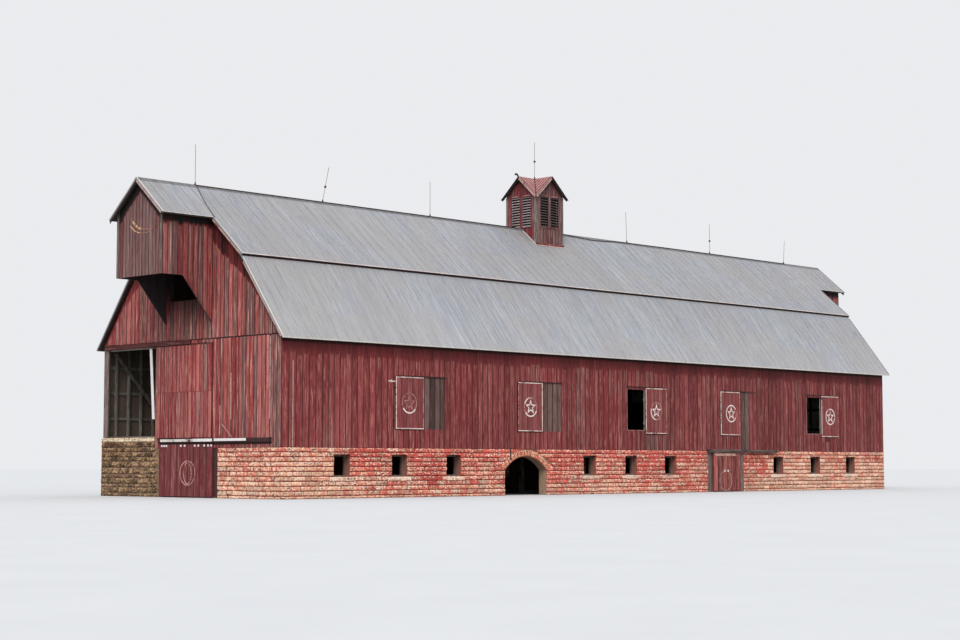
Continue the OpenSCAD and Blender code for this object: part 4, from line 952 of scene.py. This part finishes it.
shutter_edges = [c + s * shutter_half for c in shutter_centres for s in (-1, 1)] + [-7.935]
bare_edges = [edge for place in bare_places + faint_places for edge in (place[0], place[2])]
for side, sign in (("front", -1), ("rear", 1)):
    bare_cuts = bare_places + faint_places if side == "front" else []
    spots = boards(-half_length, half_length, stone_top + 0.002, 3.42, 0.172, wall_holes + bare_cuts,
        shutter_edges + (bare_edges if bare_cuts else []), ragged=0.006)
    lay(side + "_boards", board, spots, on_wall(side, sign * half_width, under_lower_roof), "wall_boards")
bare_spots = []
for low_x, foot, high_x, head in bare_places:
    bare_spots += boards(low_x, high_x, foot, head, 0.15, wall_holes)
lay("front_bare_boards", board, bare_spots, front_wall, "bare_boards")


def faint_bareness(across, along):
    return 0.35


faint_spots = []
for low_x, foot, high_x, head in faint_places:
    faint_spots += boards(low_x, high_x, foot, head, 0.17, wall_holes, bareness=faint_bareness)
lay("front_faded_boards", board, faint_spots, front_wall, "wall_boards")


def west_bareness(across, along):
    """The boards at the corner have gone grey, and single ones elsewhere."""
    if across < -2.68:
        return 0.46
    return 0.30 if chance.random() < 0.22 else 0.0


def west_upper_bareness(across, along):
    return west_bareness(across, along) + 0.13


wagon_hole = (1.15, 1.0, 2.868, 3.163)
lay("west_lower_boards", board, boards(-half_width, half_width, stone_top + 0.002, gable_seam - 0.022, 0.125,
    [wagon_hole, (1.15, 1.0, 3.2, 1.266), (2.868, 1.0, 3.2, gable_seam)], (1.15, 2.868), (0.003, 0.007),
    bareness=west_bareness, ragged=0.006), west_wall, "gable_boards")
lay("north_corner_post", board, strips((2.87, 1.27, 0.0, 3.055, gable_seam - 0.024, 0.01, 0.3)), west_wall,
    "grey_upright")
hay_hole = [(-hay_half, hay_foot, hay_half, hay_head)]
gable_joints = (-1.92, -hay_half, 0, hay_half, 1.92)
lay("west_upper_boards", board, boards(-half_width, half_width, gable_seam, 6.6, 0.135, hay_hole,
    gable_joints, (0.003, 0.007), bareness=west_upper_bareness, ragged=0.008),
    on_wall("west", -10.981, under_gable_roof), "gable_boards")
lay("east_boards", board, boards(-half_width, half_width, stone_top + 0.002, 6.6, 0.15, hay_hole,
    gable_joints, (0.003, 0.007), ragged=0.008), on_wall("east", half_length, under_gable_roof),
    "gable_boards")
# A dark lath painted as the shadow under the lower edge of the upper gable boards.
lay("gable_seam_shadow_lath", lath, lengths(-3.03, 3.03, 3, 0.003, gable_seam - 0.022, gable_seam - 0.002, 0.0,
    0.007), west_wall, "seam_dark")
lay("wagon_lintel_lath", lath, strips((1.15, 3.163, 0.0, 2.9, 3.19, 0.008)), west_wall, "grey_crosswise")

# Streaks where single boards have lost their paint

lay("pale_streaks", board, strips((-2.712, 1.6, 0.0, -2.69, 3.24, 0.0085), (-2.638, 2.2, 0.0, -2.618, 3.05,
    0.0085), (-1.47, 1.6, 0.0, -1.448, 2.55, 0.0085), (-1.1, 1.3, 0.0, -1.082, 1.9, 0.0085)), west_wall,
    "pale_trim")
lay("wall_pale_line", lath, strips((-10.69, 1.04, 0.0, -10.672, 2.76, 0.01)), front_wall, "pale_trim")
lean, lean_length = on_path(((-1.164, 1.514), (-1.497, 1.245)), west_wall)
lay("leaning_stick", lath, [(0, -0.007, 0.0, lean_length, 0.007, 0.009, 0.4, 0.0)], lean, "pale_trim",
    slot="bare_timber")

# Hay hoods


def under_hood_roof(local):
    local[:, 1] = np.minimum(local[:, 1], upper_under(np.abs(local[:, 0])) - 0.003)
    return local


def within_cheek(local):
    """A cheek board ends on the hood roof above, and on the slanted foot below."""
    distance = np.abs(local[:, 0])
    foot = hood_foot - np.maximum(hood_level_end - distance,
        0) * (hood_foot - cheek_foot) / (hood_level_end - half_length)
    local[:, 1] = np.clip(local[:, 1], foot, upper_under(hood_half + local[:, 2]) - 0.003)
    return local


def hood_bareness(across, along):
    return 0.5 if chance.random() < 0.4 else 0.15


def cheek_bareness(across, along):
    return 0.4 if chance.random() < 0.25 else 0.0


for side, sign in (("west", -1), ("east", 1)):
    lay(side + "_hood_front_boards", board, boards(-hood_half, hood_half, hood_foot + 0.002, 6.6, 0.115,
        must=(0,), proud=(0.003, 0.007), bareness=hood_bareness), on_wall(side, sign * hood_front,
        under_hood_roof), "hood_boards")
    low, high = sorted((sign * (half_length + 0.012), sign * hood_front))
    for cheek, plane in (("front", -hood_half), ("rear", hood_half)):
        lay(side + "_hood_" + cheek + "_cheek_boards", board, boards(low, high, 3.5, 6.0, 0.125,
            must=(sign * hood_level_end,), proud=(0.003, 0.007), bareness=cheek_bareness),
            on_wall(cheek, plane, within_cheek), "cheek_boards")
    lay(side + "_hood_corner_boards", board, [strip(a, hood_foot, 0.004, b, 6.6, 0.012, 0.9)
        for a, b in ((-hood_half - 0.008, -hood_half + 0.075), (hood_half - 0.075, hood_half + 0.008))],
        on_wall(side, sign * hood_front, under_hood_roof), "grey_upright")

hood_arcs = ((((0.237, 5.69), (0.137, 5.605), (0.013, 5.537), (-0.06, 5.522)), 0.046, (0.12, 0.15),
    "old_cream_paint"), (((0.345, 5.85), (0.32, 5.77), (0.237, 5.69)), 0.022, (), "faint_cream"),
    (((-0.07, 5.52), (-0.149, 5.506), (-0.337, 5.49), (-0.464, 5.513), (-0.59, 5.559)), 0.024, (0.3, 0.34),
    "faint_cream"), (((0.331, 5.61), (0.17, 5.493), (0.025, 5.445), (-0.04, 5.432)), 0.024, (),
    "old_cream_paint"), (((-0.05, 5.43), (-0.2, 5.425), (-0.36, 5.435), (-0.48, 5.47)), 0.018, (0.1, 0.16),
    "faint_cream"))
for index, (path, width, worn_gap, look) in enumerate(hood_arcs):
    bent, length = on_path(path, on_wall("west", -hood_front - 0.008))
    lay("hood_arc_%d" % (index + 1), lath, run_spots(length, width, 0.0015, 0.035, (worn_gap,)
        if worn_gap else ()), bent, look)

# Roofs


def ribs(start, end, top, foot, pitch, big, small):
    """Big ribs at the pitch and three small ones between two of them, all down the slope."""
    spots = []
    count = 4 * round((end - start) / pitch)
    for i in range(1, count):
        middle = start + (end - start) * i / count
        width, proud = small if i % 4 else big
        spots.append((middle - width / 2, top, -0.001, middle + width / 2, foot, proud, chance.random(), 0.0))
    return spots


def sheets(start, end, top, foot, width):
    """Thin sheets side by side down the slope, each a little different."""
    joints = np.linspace(start, end, max(1, round((end - start) / width)) + 1)
    return [(a, top, -0.001, b - 0.002, foot, 0.0012 + 0.0008 * chance.random(), chance.random(), 0.0)
        for a, b in zip(joints, joints[1:])]


def slopes(name, start, end, top_y, top_z, angle, top, foot, small=(0.018, 0.0045)):
    for sign, side in ((-1, "_front"), (1, "_rear")):
        place = on_slope(sign, top_y, top_z, angle)
        lay(name + side + "_sheets", lath, sheets(start, end, top, foot, 0.771), place, "roof_metal")
        lay(name + side + "_ribs", rib, ribs(start, end, top, foot, 0.257, (0.026, 0.0075), small), place,
            "roof_ribs")


upper_length = break_half / math.cos(upper_angle)
lower_length = (eave_half - break_half) / math.cos(lower_angle)
hood_length = hood_roof_half / math.cos(upper_angle)
slopes("upper_roof", -roof_half, roof_half, 0, ridge_z, upper_angle, 0.115, upper_length)
slopes("lower_roof", -roof_half, roof_half, break_half, lower_top_z, lower_angle, -0.03, lower_length)
slopes("west_hood_roof", -hood_tip, -roof_half, 0, ridge_z, upper_angle, 0.115, hood_length)
slopes("east_hood_roof", roof_half, hood_tip, 0, ridge_z, upper_angle, 0.115, hood_length)

# Trims along the roof's edges

upper_place = ("upper", 0, ridge_z, upper_angle)
lower_place = ("lower", break_half, lower_top_z, lower_angle)


def slope_trims(name, runs, look, signs=(-1, 1)):
    """The same trims on the front and the rear slopes."""
    for sign in signs:
        for (part_name, top_y, top_z, angle), spots in runs:
            lay(name + "_" + part_name + ("_front" if sign < 0 else "_rear"), lath, spots,
                on_slope(sign, top_y, top_z, angle), look)


for end, look, sign in (("west", "roof_edge", -1), ("east", "dark_edge", 1)):
    low, high = sorted((sign * roof_half, sign * (roof_half - 0.020)))
    slope_trims(end + "_rake_edge",
                ((upper_place, strips((low, 1.24, -0.001, high, upper_length, 0.007))),
                 (lower_place, strips((low, 0.0, -0.001, high, lower_length, 0.007)))), look)
    low, high = sorted((sign * hood_tip, sign * (hood_tip - 0.020)))
    slope_trims(end + "_hood_rake_edge",
                ((upper_place, strips((low, 0.0, -0.001, high, hood_length, 0.007))),), look)


def rake_faces(half, head, foot, drop_low, drop_high):
    """A thin face on the outside of each end's rake board."""
    return strips((-half - 0.004, head, -drop_low, -half + 0.002, foot, -drop_high),
        (half - 0.002, head, -drop_low, half + 0.004, foot, -drop_high))


for name, runs, look, signs in (
        ("rake_face", lambda: (
            (upper_place, rake_faces(roof_half, 1.24, upper_length - 0.06, 0.072, 0.034)),
            (lower_place, rake_faces(roof_half, 0.09, lower_length - 0.03, 0.06, 0.034))), "pale_trim", (-1,)),
        ("hood_rake_face", lambda: (
            (upper_place, rake_faces(hood_tip, 0.06, hood_length - 0.05, 0.07, 0.034)),), "pale_trim", (-1,)),
        ("break_edge", lambda: (
            (upper_place, lengths(-roof_half, roof_half, 11, 0.003, upper_length - 0.026,
                                  upper_length + 0.004, 0.001, 0.0095)),), "break_edge", (-1, 1)),
        # A dark strip in the step at the roof's break, painted as the shadow under the upper roof's edge.
        ("break_shadow_fascia", lambda: (
            (upper_place, lengths(-roof_half, roof_half, 6, 0.003, upper_length - 0.004,
                                  upper_length + 0.008, -plate - 0.036, 0.002)),), "seam_dark", (-1, 1)),
        ("hood_eave_edge", lambda: (
            (upper_place, strips(*((a, hood_length - 0.012, -plate - 0.004, b, hood_length + 0.004, 0.004)
                                   for a, b in ((-hood_tip, -roof_half - 0.01), (roof_half + 0.01, hood_tip))
                                   ))),), "roof_edge", (-1, 1))):
    slope_trims(name, runs(), look, signs)
for side, sign in (("front", -1), ("rear", 1)):
    lay("eave_drip_" + side, lath, lengths(-roof_half, roof_half, 8, 0.003, 3.188, 3.223, 0.0, 0.011),
        on_wall(side, sign * 3.206), "roof_edge")

conductor = on_path(((-10.85, 0.05), (-11.0, 0.7), (-11.06, 1.265)), on_slope(-1, 0, ridge_z, upper_angle))
lay("roof_conductor", lath, run_spots(conductor[1], 0.011, 0.014, 0.12, foot=0.004), conductor[0], "iron")
cable = on_path(((-10.85, 0.035), (-0.8, 0.03), (0.857, 0.03), (1.15, 0.075), (1.5, 0.12), (1.9, 0.15),
    (2.3, 0.12), (2.9, 0.05), (5.0, 0.03), (10.6, 0.03)), on_slope(-1, 0, ridge_z, upper_angle))
lay("ridge_cable", lath, run_spots(cable[1], 0.014, 0.024, 0.25, ((9.96, 11.3),), 0.01), cable[0], "iron")

# Shutters


def flat_plate(corners, centre, reach):
    """A flat plate with equal sides, on an upright wall that faces the front."""
    clear_picks()
    bpy.ops.mesh.primitive_circle_add(vertices=corners, radius=reach, fill_type="NGON", location=centre,
                                      rotation=(math.pi / 2, 0, 0))
    bpy.ops.object.transform_apply(location=True, rotation=True, scale=True)
    return bpy.context.object


def pierced_ring(centre, inner, outer, proud):
    """A flat ring: a round plate with only its rim left."""
    ring = flat_plate(56, centre, outer)
    form = open_piece(ring)
    pick(ring, form.faces, lambda f: True)
    return leave_rim(ring, outer - inner, proud)


def star_outline(centre, reach, width, proud):
    """A five-pointed star in outline, inside a ring."""
    star = flat_plate(10, centre, reach)
    form = open_piece(star, "VERT")
    form.verts.ensure_lookup_table()
    middle = Vector(centre)
    order = sorted(form.verts, key=lambda v: math.atan2(v.co.x - middle.x, v.co.z - middle.z))
    top = min(range(10), key=lambda i: abs(order[i].co.x - middle.x) - order[i].co.z)
    for step in range(1, 10, 2):
        order[(top + step) % 10].select_set(True)
    form.select_flush_mode()
    bmesh.update_edit_mesh(star.data)
    bpy.ops.transform.resize(value=(0.42, 1, 0.42), center_override=centre)
    bpy.ops.mesh.select_mode(type="FACE")
    bpy.ops.mesh.select_all(action="SELECT")
    return leave_rim(star, width, proud)


def leave_rim(piece, width, proud):
    """Takes out the middle of a flat face and gives the rim that is left a closed thickness."""
    bpy.ops.mesh.inset(thickness=width)
    bpy.ops.mesh.delete(type="FACE")
    bpy.ops.object.mode_set(mode="OBJECT")
    wall = piece.modifiers.new("thickness", "SOLIDIFY")
    wall.thickness = proud
    wall.offset = 0
    bpy.ops.object.modifier_apply(modifier=wall.name)
    open_piece(piece)
    bpy.ops.mesh.select_all(action="SELECT")
    bpy.ops.mesh.normals_make_consistent(inside=False)
    clear_picks()
    return piece


def join_pieces(name, pieces, look, tones):
    """Joins modelled pieces into one, with a tone for each."""
    for piece, tone in zip(pieces, tones):
        attribute = piece.data.attributes.new("tone", "FLOAT", "POINT")
        attribute.data.foreach_set("value", np.full(len(piece.data.vertices), tone, np.float32))
    clear_picks()
    for piece in pieces:
        piece.select_set(True)
    whole = bpy.context.view_layer.objects.active = pieces[0]
    bpy.ops.object.join()
    whole.name = whole.data.name = name
    whole.data.materials.clear()
    whole.data.materials.append(finishes[look])
    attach(whole, "root")
    clear_picks()


def oval(centre, wide, tall, angles):
    return [(centre[0] + wide * math.cos(a), centre[1] + tall * math.sin(a)) for a in angles]


rim = 0.021


def frame_strips(low_x, foot, high_x, head, low, high):
    """Four laths round the edge of a leaf."""
    return strips((low_x, foot, low, high_x, foot + rim, high), (low_x, head - rim, low, high_x, head, high),
        (low_x, foot + rim, low, low_x + rim, head - rim, high), (high_x - rim, foot + rim, low, high_x,
        head - rim, high))


for side, plane, centres in (("front", -shutter_plane, front_leaf_centres),
                             ("rear", shutter_plane, shutter_centres)):
    leaf_boards, leaf_edges, faint_edges = [], [], []
    for index, c in enumerate(centres):
        leaf_boards += boards(c - leaf_half, c + leaf_half, leaf_foot, leaf_head, 0.162,
            proud=(0.002, 0.0035), gap=leaf_gap)
        rim_strips = frame_strips(c - leaf_half, leaf_foot, c + leaf_half, leaf_head, -0.001, 0.009)
        faint_edges.append(rim_strips.pop(2 if index == 1 else 3))
        leaf_edges += rim_strips
    lay("shutter_boards_" + side, board, leaf_boards, on_wall(side, plane), "shutter_boards")
    lay("shutter_edges_" + side, lath, leaf_edges, on_wall(side, plane), "white_trim")
    lay("shutter_worn_edges_" + side, lath, faint_edges, on_wall(side, plane), "faint_ring")
lay("shutter_latches", lath, [strip(c - leaf_half - 0.045, 1.6, 0.0, c - leaf_half + 0.005, 1.64, 0.022)
    for c in front_leaf_centres] + strips((7.87, 2.44, 0.01, 7.93, 2.5, 0.03)), front_wall, "iron")
lay("shutter_fitting", lath, strips((-8.1, 2.418, 0.0, -7.9, 2.44, 0.014), (-8.03, 2.4, 0.0, -8.0, 2.46,
    0.016)), front_wall, "white_trim")
# A dark lath painted as the shadow in a gap between boards beside the first shutter.
lay("shutter_seam_shadow", lath, strips((-7.95, 1.05, 0.0, -7.922, 2.6, 0.01)), front_wall, "seam_dark")
lay("arch_strap", lath, strips((-4.4, 0.79, 0.012, -4.37, 1.05, 0.026)), front_wall, "iron")

lay("opening_edges", lath, [strip(c - shutter_half - 0.014, shutter_foot - 0.014, 0.0, c - shutter_half,
    shutter_head, 0.01) for c in (0.02, 7.525)] + [strip(c - shutter_half, shutter_foot - 0.014, 0.0,
    c + shutter_half - 0.02, shutter_foot, 0.01) for c in (0.02, 7.525)], front_wall, "faint_ring")
# Dark laths below and to the left of each front leaf, painted as the shadow in the gap round it.
lay("shutter_shadow_gaps", lath, [strip(c - leaf_half - 0.002, leaf_foot - 0.02, 0.0, c + leaf_half, leaf_foot, 0.01)
    for c in front_leaf_centres] + [strip(c - leaf_half - 0.018, leaf_foot - 0.01, 0.0, c - leaf_half,
    leaf_head, 0.0095) for c in front_leaf_centres], front_wall, "seam_dark")

ring_centres = (-7.501, -3.730, 0.780, 3.809, 8.295)
ring_height, ring_reach = 1.98, 0.209
ring_marks = []
for x in ring_centres:
    ring_marks.append(pierced_ring((x, ring_plane, ring_height), 0.198, 0.220, 0.0016))
    ring_marks.append(star_outline((x, ring_plane, ring_height), 0.176, 0.016, 0.0016))
join_pieces("shutter_rings", ring_marks, "faint_ring",
            [v for i in range(5) for v in (i * 1.7, i * 1.7 + 0.6)])

# Where the white of a ring has lasted: which ring, then from and to which angle in degrees
for index, (ring, start, end) in enumerate(((0, 212, 322), (1, 100, 160), (1, 215, 335), (2, 165, 262),
                                            (3, 30, 330), (4, 0, 350))):
    angles = np.radians(np.linspace(start, end, max(4, (end - start) // 12)))
    bent, length = on_path(oval((ring_centres[ring], ring_height), ring_reach, ring_reach, angles),
                           on_wall("front", paint_plane))
    lay("ring_white_%d" % (index + 1), lath, run_spots(length, 0.03, 0.0012, 0.05), bent, "old_white_paint")
join_pieces("star_white", [star_outline((x, paint_plane, ring_height), 0.18, 0.026, 0.0012)
                           for x in ring_centres[1:]], "old_white_paint", (0.9, 2.3, 3.2, 4.1))

# Sliding door leaves

wagon_boards = boards(-0.85, 1.06, 1.247, 2.197, 0.135, proud=leaf_proud, gap=leaf_gap) + boards(-0.85, 1.06,
    2.207, 3.178, 0.135, proud=leaf_proud, gap=leaf_gap)
lay("wagon_leaf_boards", board, wagon_boards, west_leaf_face, "gable_boards", "wagon_leaf")
lay("west_leaf_boards", board, boards(-0.905, 0.941, 0.022, 1.108, 0.205, proud=leaf_proud, gap=leaf_gap),
    west_leaf_face, "door_boards", "west_leaf")
lay("front_leaf_boards", board, boards(3.01, 4.17, 0.022, 0.976, 0.19, proud=leaf_proud, gap=leaf_gap),
    front_leaf_face, "stable_boards", "front_leaf")
lay("west_leaf_dots", lath, [strip(y - 0.026, 1.058, 0.001, y + 0.026, 1.098, 0.0055) for y in (0.84, 0.754,
    0.678, 0.174, 0.042, -0.303, -0.43, -0.627, -0.755, -0.862)], west_leaf_face, "white_board", "west_leaf")
lay("front_leaf_dots", lath, [strip(x - 0.026, 0.507, 0.003, x + 0.026, 0.553, 0.0065)
    for x in (3.49, 3.628)], front_leaf_face, "white_board", "front_leaf")
lay("front_leaf_head", lath, strips((3.06, 0.905, 0.001, 3.98, 0.97, 0.0055)), front_leaf_face, "faint_pink",
    "front_leaf")
lay("west_post_face", board, strips((-1.022, 0.02, 0.0, -0.872, stone_top, 0.005)), west_wall, "dark_timber")
# A dark strip painted as the shadow in the gap under the west door's cover.
lay("west_cover_shadow_gap", lath, strips((-2.76, 1.1, 0.0, 0.955, 1.15, 0.0085)), west_wall, "seam_dark")
lay("front_leaf_edge", board, strips((3.035, 0.03, 0.001, 3.195, 0.9, 0.0052)), front_leaf_face, "pink_board",
    "front_leaf")
for name, side, plane, centre, wide, tall, body in (
        ("west_leaf_ring", "west", -11.0148, (-0.065, 0.51), 0.255, 0.25, "west_leaf"),
        ("west_leaf_inner_ring", "west", -11.0148, (-0.065, 0.51), 0.13, 0.22, "west_leaf"),
        ("front_leaf_ring", "front", -3.0898, (3.53, 0.28), 0.25, 0.25, "front_leaf")):
    bent, length = on_path(oval(centre, wide, tall, np.linspace(0, 2 * math.pi, 37)), on_wall(side, plane))
    lay(name, lath, run_spots(length, 0.026, 0.0012, length / 36), bent, "faint_ring", body)

# Covers over the sliding doors

west_cover = on_wall("west", -11.045)
lay("west_cover_pale", lath, strips((-2.035, 1.166, -0.001, -0.985, 1.22, 0.003),
    (-0.925, 1.16, -0.001, -0.275, 1.22, 0.003)), west_cover, "white_board")
lay("west_cover_worn", lath, strips((-0.265, 1.162, -0.001, 0.86, 1.216, 0.003)), west_cover, "cover_board")
lay("front_cover_lath", lath, strips((2.815, 1.044, -0.001, 4.3, 1.06, 0.003),
    (4.33, 1.03, -0.001, 5.74, 1.046, 0.003)), on_wall("front", -3.11), "grey_lengthwise")

# Cupola


def within_cupola(local):
    """A cupola board ends on the barn's roof below and under the cupola's roof above."""
    distance = np.abs(local[:, 0])
    local[:, 1] = np.clip(local[:, 1], 6.1, cupola_peak - 0.026 - cupola_slope * distance)
    return local


def within_cupola_end(local):
    distance = np.abs(local[:, 0])
    local[:, 1] = np.clip(local[:, 1], ridge_z - upper_slope * distance + 0.002,
        cupola_peak - 0.026 - cupola_slope * distance)
    return local


louvre_reach = louvre_width + mullion / 2
louvre_holes = [(-louvre_reach, louvre_foot, -mullion / 2, louvre_head),
    (mullion / 2, louvre_foot, louvre_reach, louvre_head)]
cupola_joints = (-louvre_reach, -mullion / 2, 0, mullion / 2, louvre_reach)


def trim_bareness(across, along):
    return 0.4 if chance.random() < 0.35 else 0.0


for side, plane, limit in (("front", -cupola_half, within_cupola), ("rear", cupola_half, within_cupola),
        ("west", -cupola_half, within_cupola_end), ("east", cupola_half, within_cupola_end)):
    place = shifted(on_wall(side, plane, limit), cupola_x)
    boards_look, trim_look, rim_look = (("cupola_red", "red_crosswise", "rim_red") if side in ("west", "east")
                                        else ("cupola_worn", "red_lengthwise", "rim_dark"))
    lay("cupola_boards_" + side, board, boards(-cupola_half, cupola_half, 6.1, 7.9, 0.11, louvre_holes,
        cupola_joints, (0.003, 0.006), 0.005, bareness=trim_bareness), place, boards_look)
    lay("cupola_corner_boards_" + side, board, [strip(a, 6.0, 0.004, b, 7.9, 0.013, 0.4)
        for a, b in ((-cupola_half - 0.012, -cupola_half + 0.068),
        (cupola_half - 0.068, cupola_half + 0.012))], place, "grey_upright")
    lay("cupola_louvre_trims_" + side, lath, [strip(a, louvre_foot - 0.022, 0.003, b, louvre_foot + 0.002,
        0.016) for a, b in ((-louvre_reach - 0.01, -0.012), (0.012, louvre_reach + 0.01))], place,
        trim_look)
    rims = []
    for a, b in ((-louvre_reach, -mullion / 2), (mullion / 2, louvre_reach)):
        rims += strips((a - 0.004, louvre_foot, 0.0, a + 0.015, louvre_head, 0.008),
            (b - 0.015, louvre_foot, 0.0, b + 0.004, louvre_head, 0.008), (a + 0.015, louvre_head - 0.015,
            0.0, b - 0.015, louvre_head + 0.003, 0.008))
    lay("cupola_louvre_rims_" + side, lath, rims, place, rim_look)
    lay("cupola_louvre_heads_" + side, lath, [strip(a, louvre_head + 0.006, 0.003, b, louvre_head + 0.02,
        0.01) for a, b in ((-louvre_reach + 0.01, -0.05), (0.05, louvre_reach - 0.02))], place, "faint_ring")
    # Dark boards behind the louvres, painted as the shade inside the cupola.
    lay("cupola_louvre_shade_backs_" + side, board, boards(-louvre_reach, louvre_reach, louvre_foot - 0.01,
        louvre_head + 0.01, 0.16, proud=(0.006, 0.008), gap=0.001),
        shifted(on_wall(side, plane - math.copysign(0.075, plane)), cupola_x), "seam_dark")
for side, sign in (("front", -1), ("rear", 1)):
    foot_z = ridge_z - upper_slope * cupola_half
    lay("cupola_foot_board_" + side, lath,
        strips((-cupola_half - 0.03, foot_z - 0.01, 0.01, cupola_half + 0.03, foot_z + 0.035, 0.026)),
        shifted(on_wall(side, sign * cupola_half), cupola_x), "red_lengthwise")

hip = cupola_half / math.cos(upper_angle)
for side, sign in (("front", -1), ("rear", 1)):
    slope = on_slope(sign, 0, ridge_z, upper_angle)
    lay("cupola_flashing_" + side, lath, [strip(cupola_x + end * (cupola_half + 0.03) - 0.014, 0.115, 0.002,
        cupola_x + end * (cupola_half + 0.03) + 0.014, hip + 0.03, 0.012) for end in (-1, 1)], slope,
        "roof_edge")
    lay("cupola_foot_flashing_" + side, lath,
        strips((cupola_x - cupola_half - 0.05, hip + 0.035, 0.002, cupola_x + cupola_half + 0.05, hip + 0.075,
        0.01)), slope, "pale_trim", slot="faded_red_roof")

cupola_angle = math.atan(cupola_slope)
cupola_top = cupola_peak + 0.018
cupola_fall = cupola_edge / math.cos(cupola_angle)
curl, curl_length = on_path(((-0.825, 7.865), (-0.85, 7.905), (-0.885, 7.945), (-0.925, 7.958), (-0.95, 7.94),
    (-0.945, 7.915)), on_wall("front", 0.0))
lay("cupola_curl", lath, run_spots(curl_length, 0.034, 0.014, 0.03, foot=-0.014), curl, "iron")


def on_cupola(axis, sign):
    """One slope of the cupola's crossed roofs: across along its ridge, down its slope, and out."""
    def place(local):
        across, along, out = local.T
        reach = (along * math.cos(cupola_angle) + out * math.sin(cupola_angle)) * sign
        z = cupola_top - along * math.sin(cupola_angle) + out * math.cos(cupola_angle)
        if axis == "x":
            return np.stack((cupola_x + across, reach, z), 1)
        return np.stack((cupola_x + reach, across, z), 1)
    return place


for axis in ("x", "y"):
    for sign in (-1, 1):
        place = on_cupola(axis, sign)
        label = "%s_%s" % (axis, "low" if sign < 0 else "high")
        lay("cupola_roof_ribs_" + label, rib,
            [strip(end * u - 0.015, 0.008, -0.001, end * u + 0.015, (u - 0.014) / math.cos(cupola_angle),
            0.009) for end in (-1, 1) for u in (0.12, 0.21, 0.3, 0.39, 0.48)], place, "pale_rib")
        # Dark strips along the valleys, painted as the shade in the creases.
        for end, end_name in ((-1, "near"), (1, "away")):
            valley, length = on_path(((0, 0.02), (end * cupola_edge, cupola_fall)), place)
            lay("cupola_valley_%s_%s" % (label, end_name), lath,
                [(0.02, -0.012, 0.0, length - 0.02, 0.012, 0.008, 0.4, 0.0)], valley, "seam_dark")
        # On each low slope the near rake is pale trim; the other rakes are dark, as painted shade.
        for end, end_name in ((-1, "near"), (1, "away")):
            low, high = sorted((end * cupola_edge, end * (cupola_edge - 0.016)))
            lay("cupola_rake_%s_%s" % (label, end_name), lath,
                strips((low, 0.02, -0.056, high, cupola_fall - 0.02, 0.006)), place,
                "pale_trim" if sign < 0 and end < 0 else "seam_dark")

# Camera, light and floor

camera_data = bpy.data.cameras.new("camera")
camera_data.lens = 69.1
camera_data.sensor_width = 36
camera_data.clip_end = 500
camera = bpy.data.objects.new("camera", camera_data)
camera.location = (-34.331, -31.311, 0.690)
camera.rotation_euler = (math.radians(90 + 4.4805), 0, math.radians(44.275 - 90))
bpy.context.scene.collection.objects.link(camera)
bpy.context.scene.camera = camera

sun_data = bpy.data.lights.new("soft_sun", "SUN")
sun_data.energy = 1.7
sun_data.angle = math.radians(28)
sun_data.color = (1.0, 0.985, 0.96)
sun = bpy.data.objects.new("soft_sun", sun_data)
sun.rotation_euler = Vector((-0.62, -0.50, 0.80)).to_track_quat("Z", "Y").to_euler()
bpy.context.scene.collection.objects.link(sun)


def seen_directly(bench):
    """One for rays that come from the camera or through gloss and glass, where the pale backdrop shows."""
    rays = [bench.add("LightPath", kind) for kind in ("Is Camera Ray", "Is Glossy Ray", "Is Transmission Ray")]
    return bench.most(bench.most(rays[0], rays[1]), rays[2])


world = bpy.context.scene.world = bpy.data.worlds.new("pale_sky")
bench = clear_bench(world)
backdrop = bench.add("Background", 0, {"Color": (0.83, 0.835, 0.86, 1), "Strength": 1.0})
sky_light = bench.add("Background", 0, {"Color": (0.93, 0.96, 1.0, 1), "Strength": 0.85})
bench.end(bench.add("MixShader", 0, {0: seen_directly(bench), 1: sky_light, 2: backdrop}), "OutputWorld")

clear_picks()
bpy.ops.mesh.primitive_plane_add(size=400, location=(0, 0, 0))
floor = bpy.context.object
floor.name = floor.data.name = "floor"
ground = bpy.data.materials.new("pale floor")
bench = clear_bench(ground)
mottle = bench.noise(bench.add("TexCoord", "Object"), 0.8, 4.0, 0.6)
pale = bench.blend(mottle.mask(0.3, 0.7), (0.655, 0.660, 0.675, 1), (0.68, 0.685, 0.695, 1))
pale_floor = bench.add("BsdfDiffuse", 0, {"Color": pale})
dull_floor = bench.add("BsdfDiffuse", 0, {"Color": (0.20, 0.20, 0.19, 1)})
bench.end(bench.add("MixShader", 0, {0: seen_directly(bench), 1: dull_floor, 2: pale_floor}))
floor.data.materials.append(ground)

bpy.context.scene.view_settings.view_transform = "Standard"
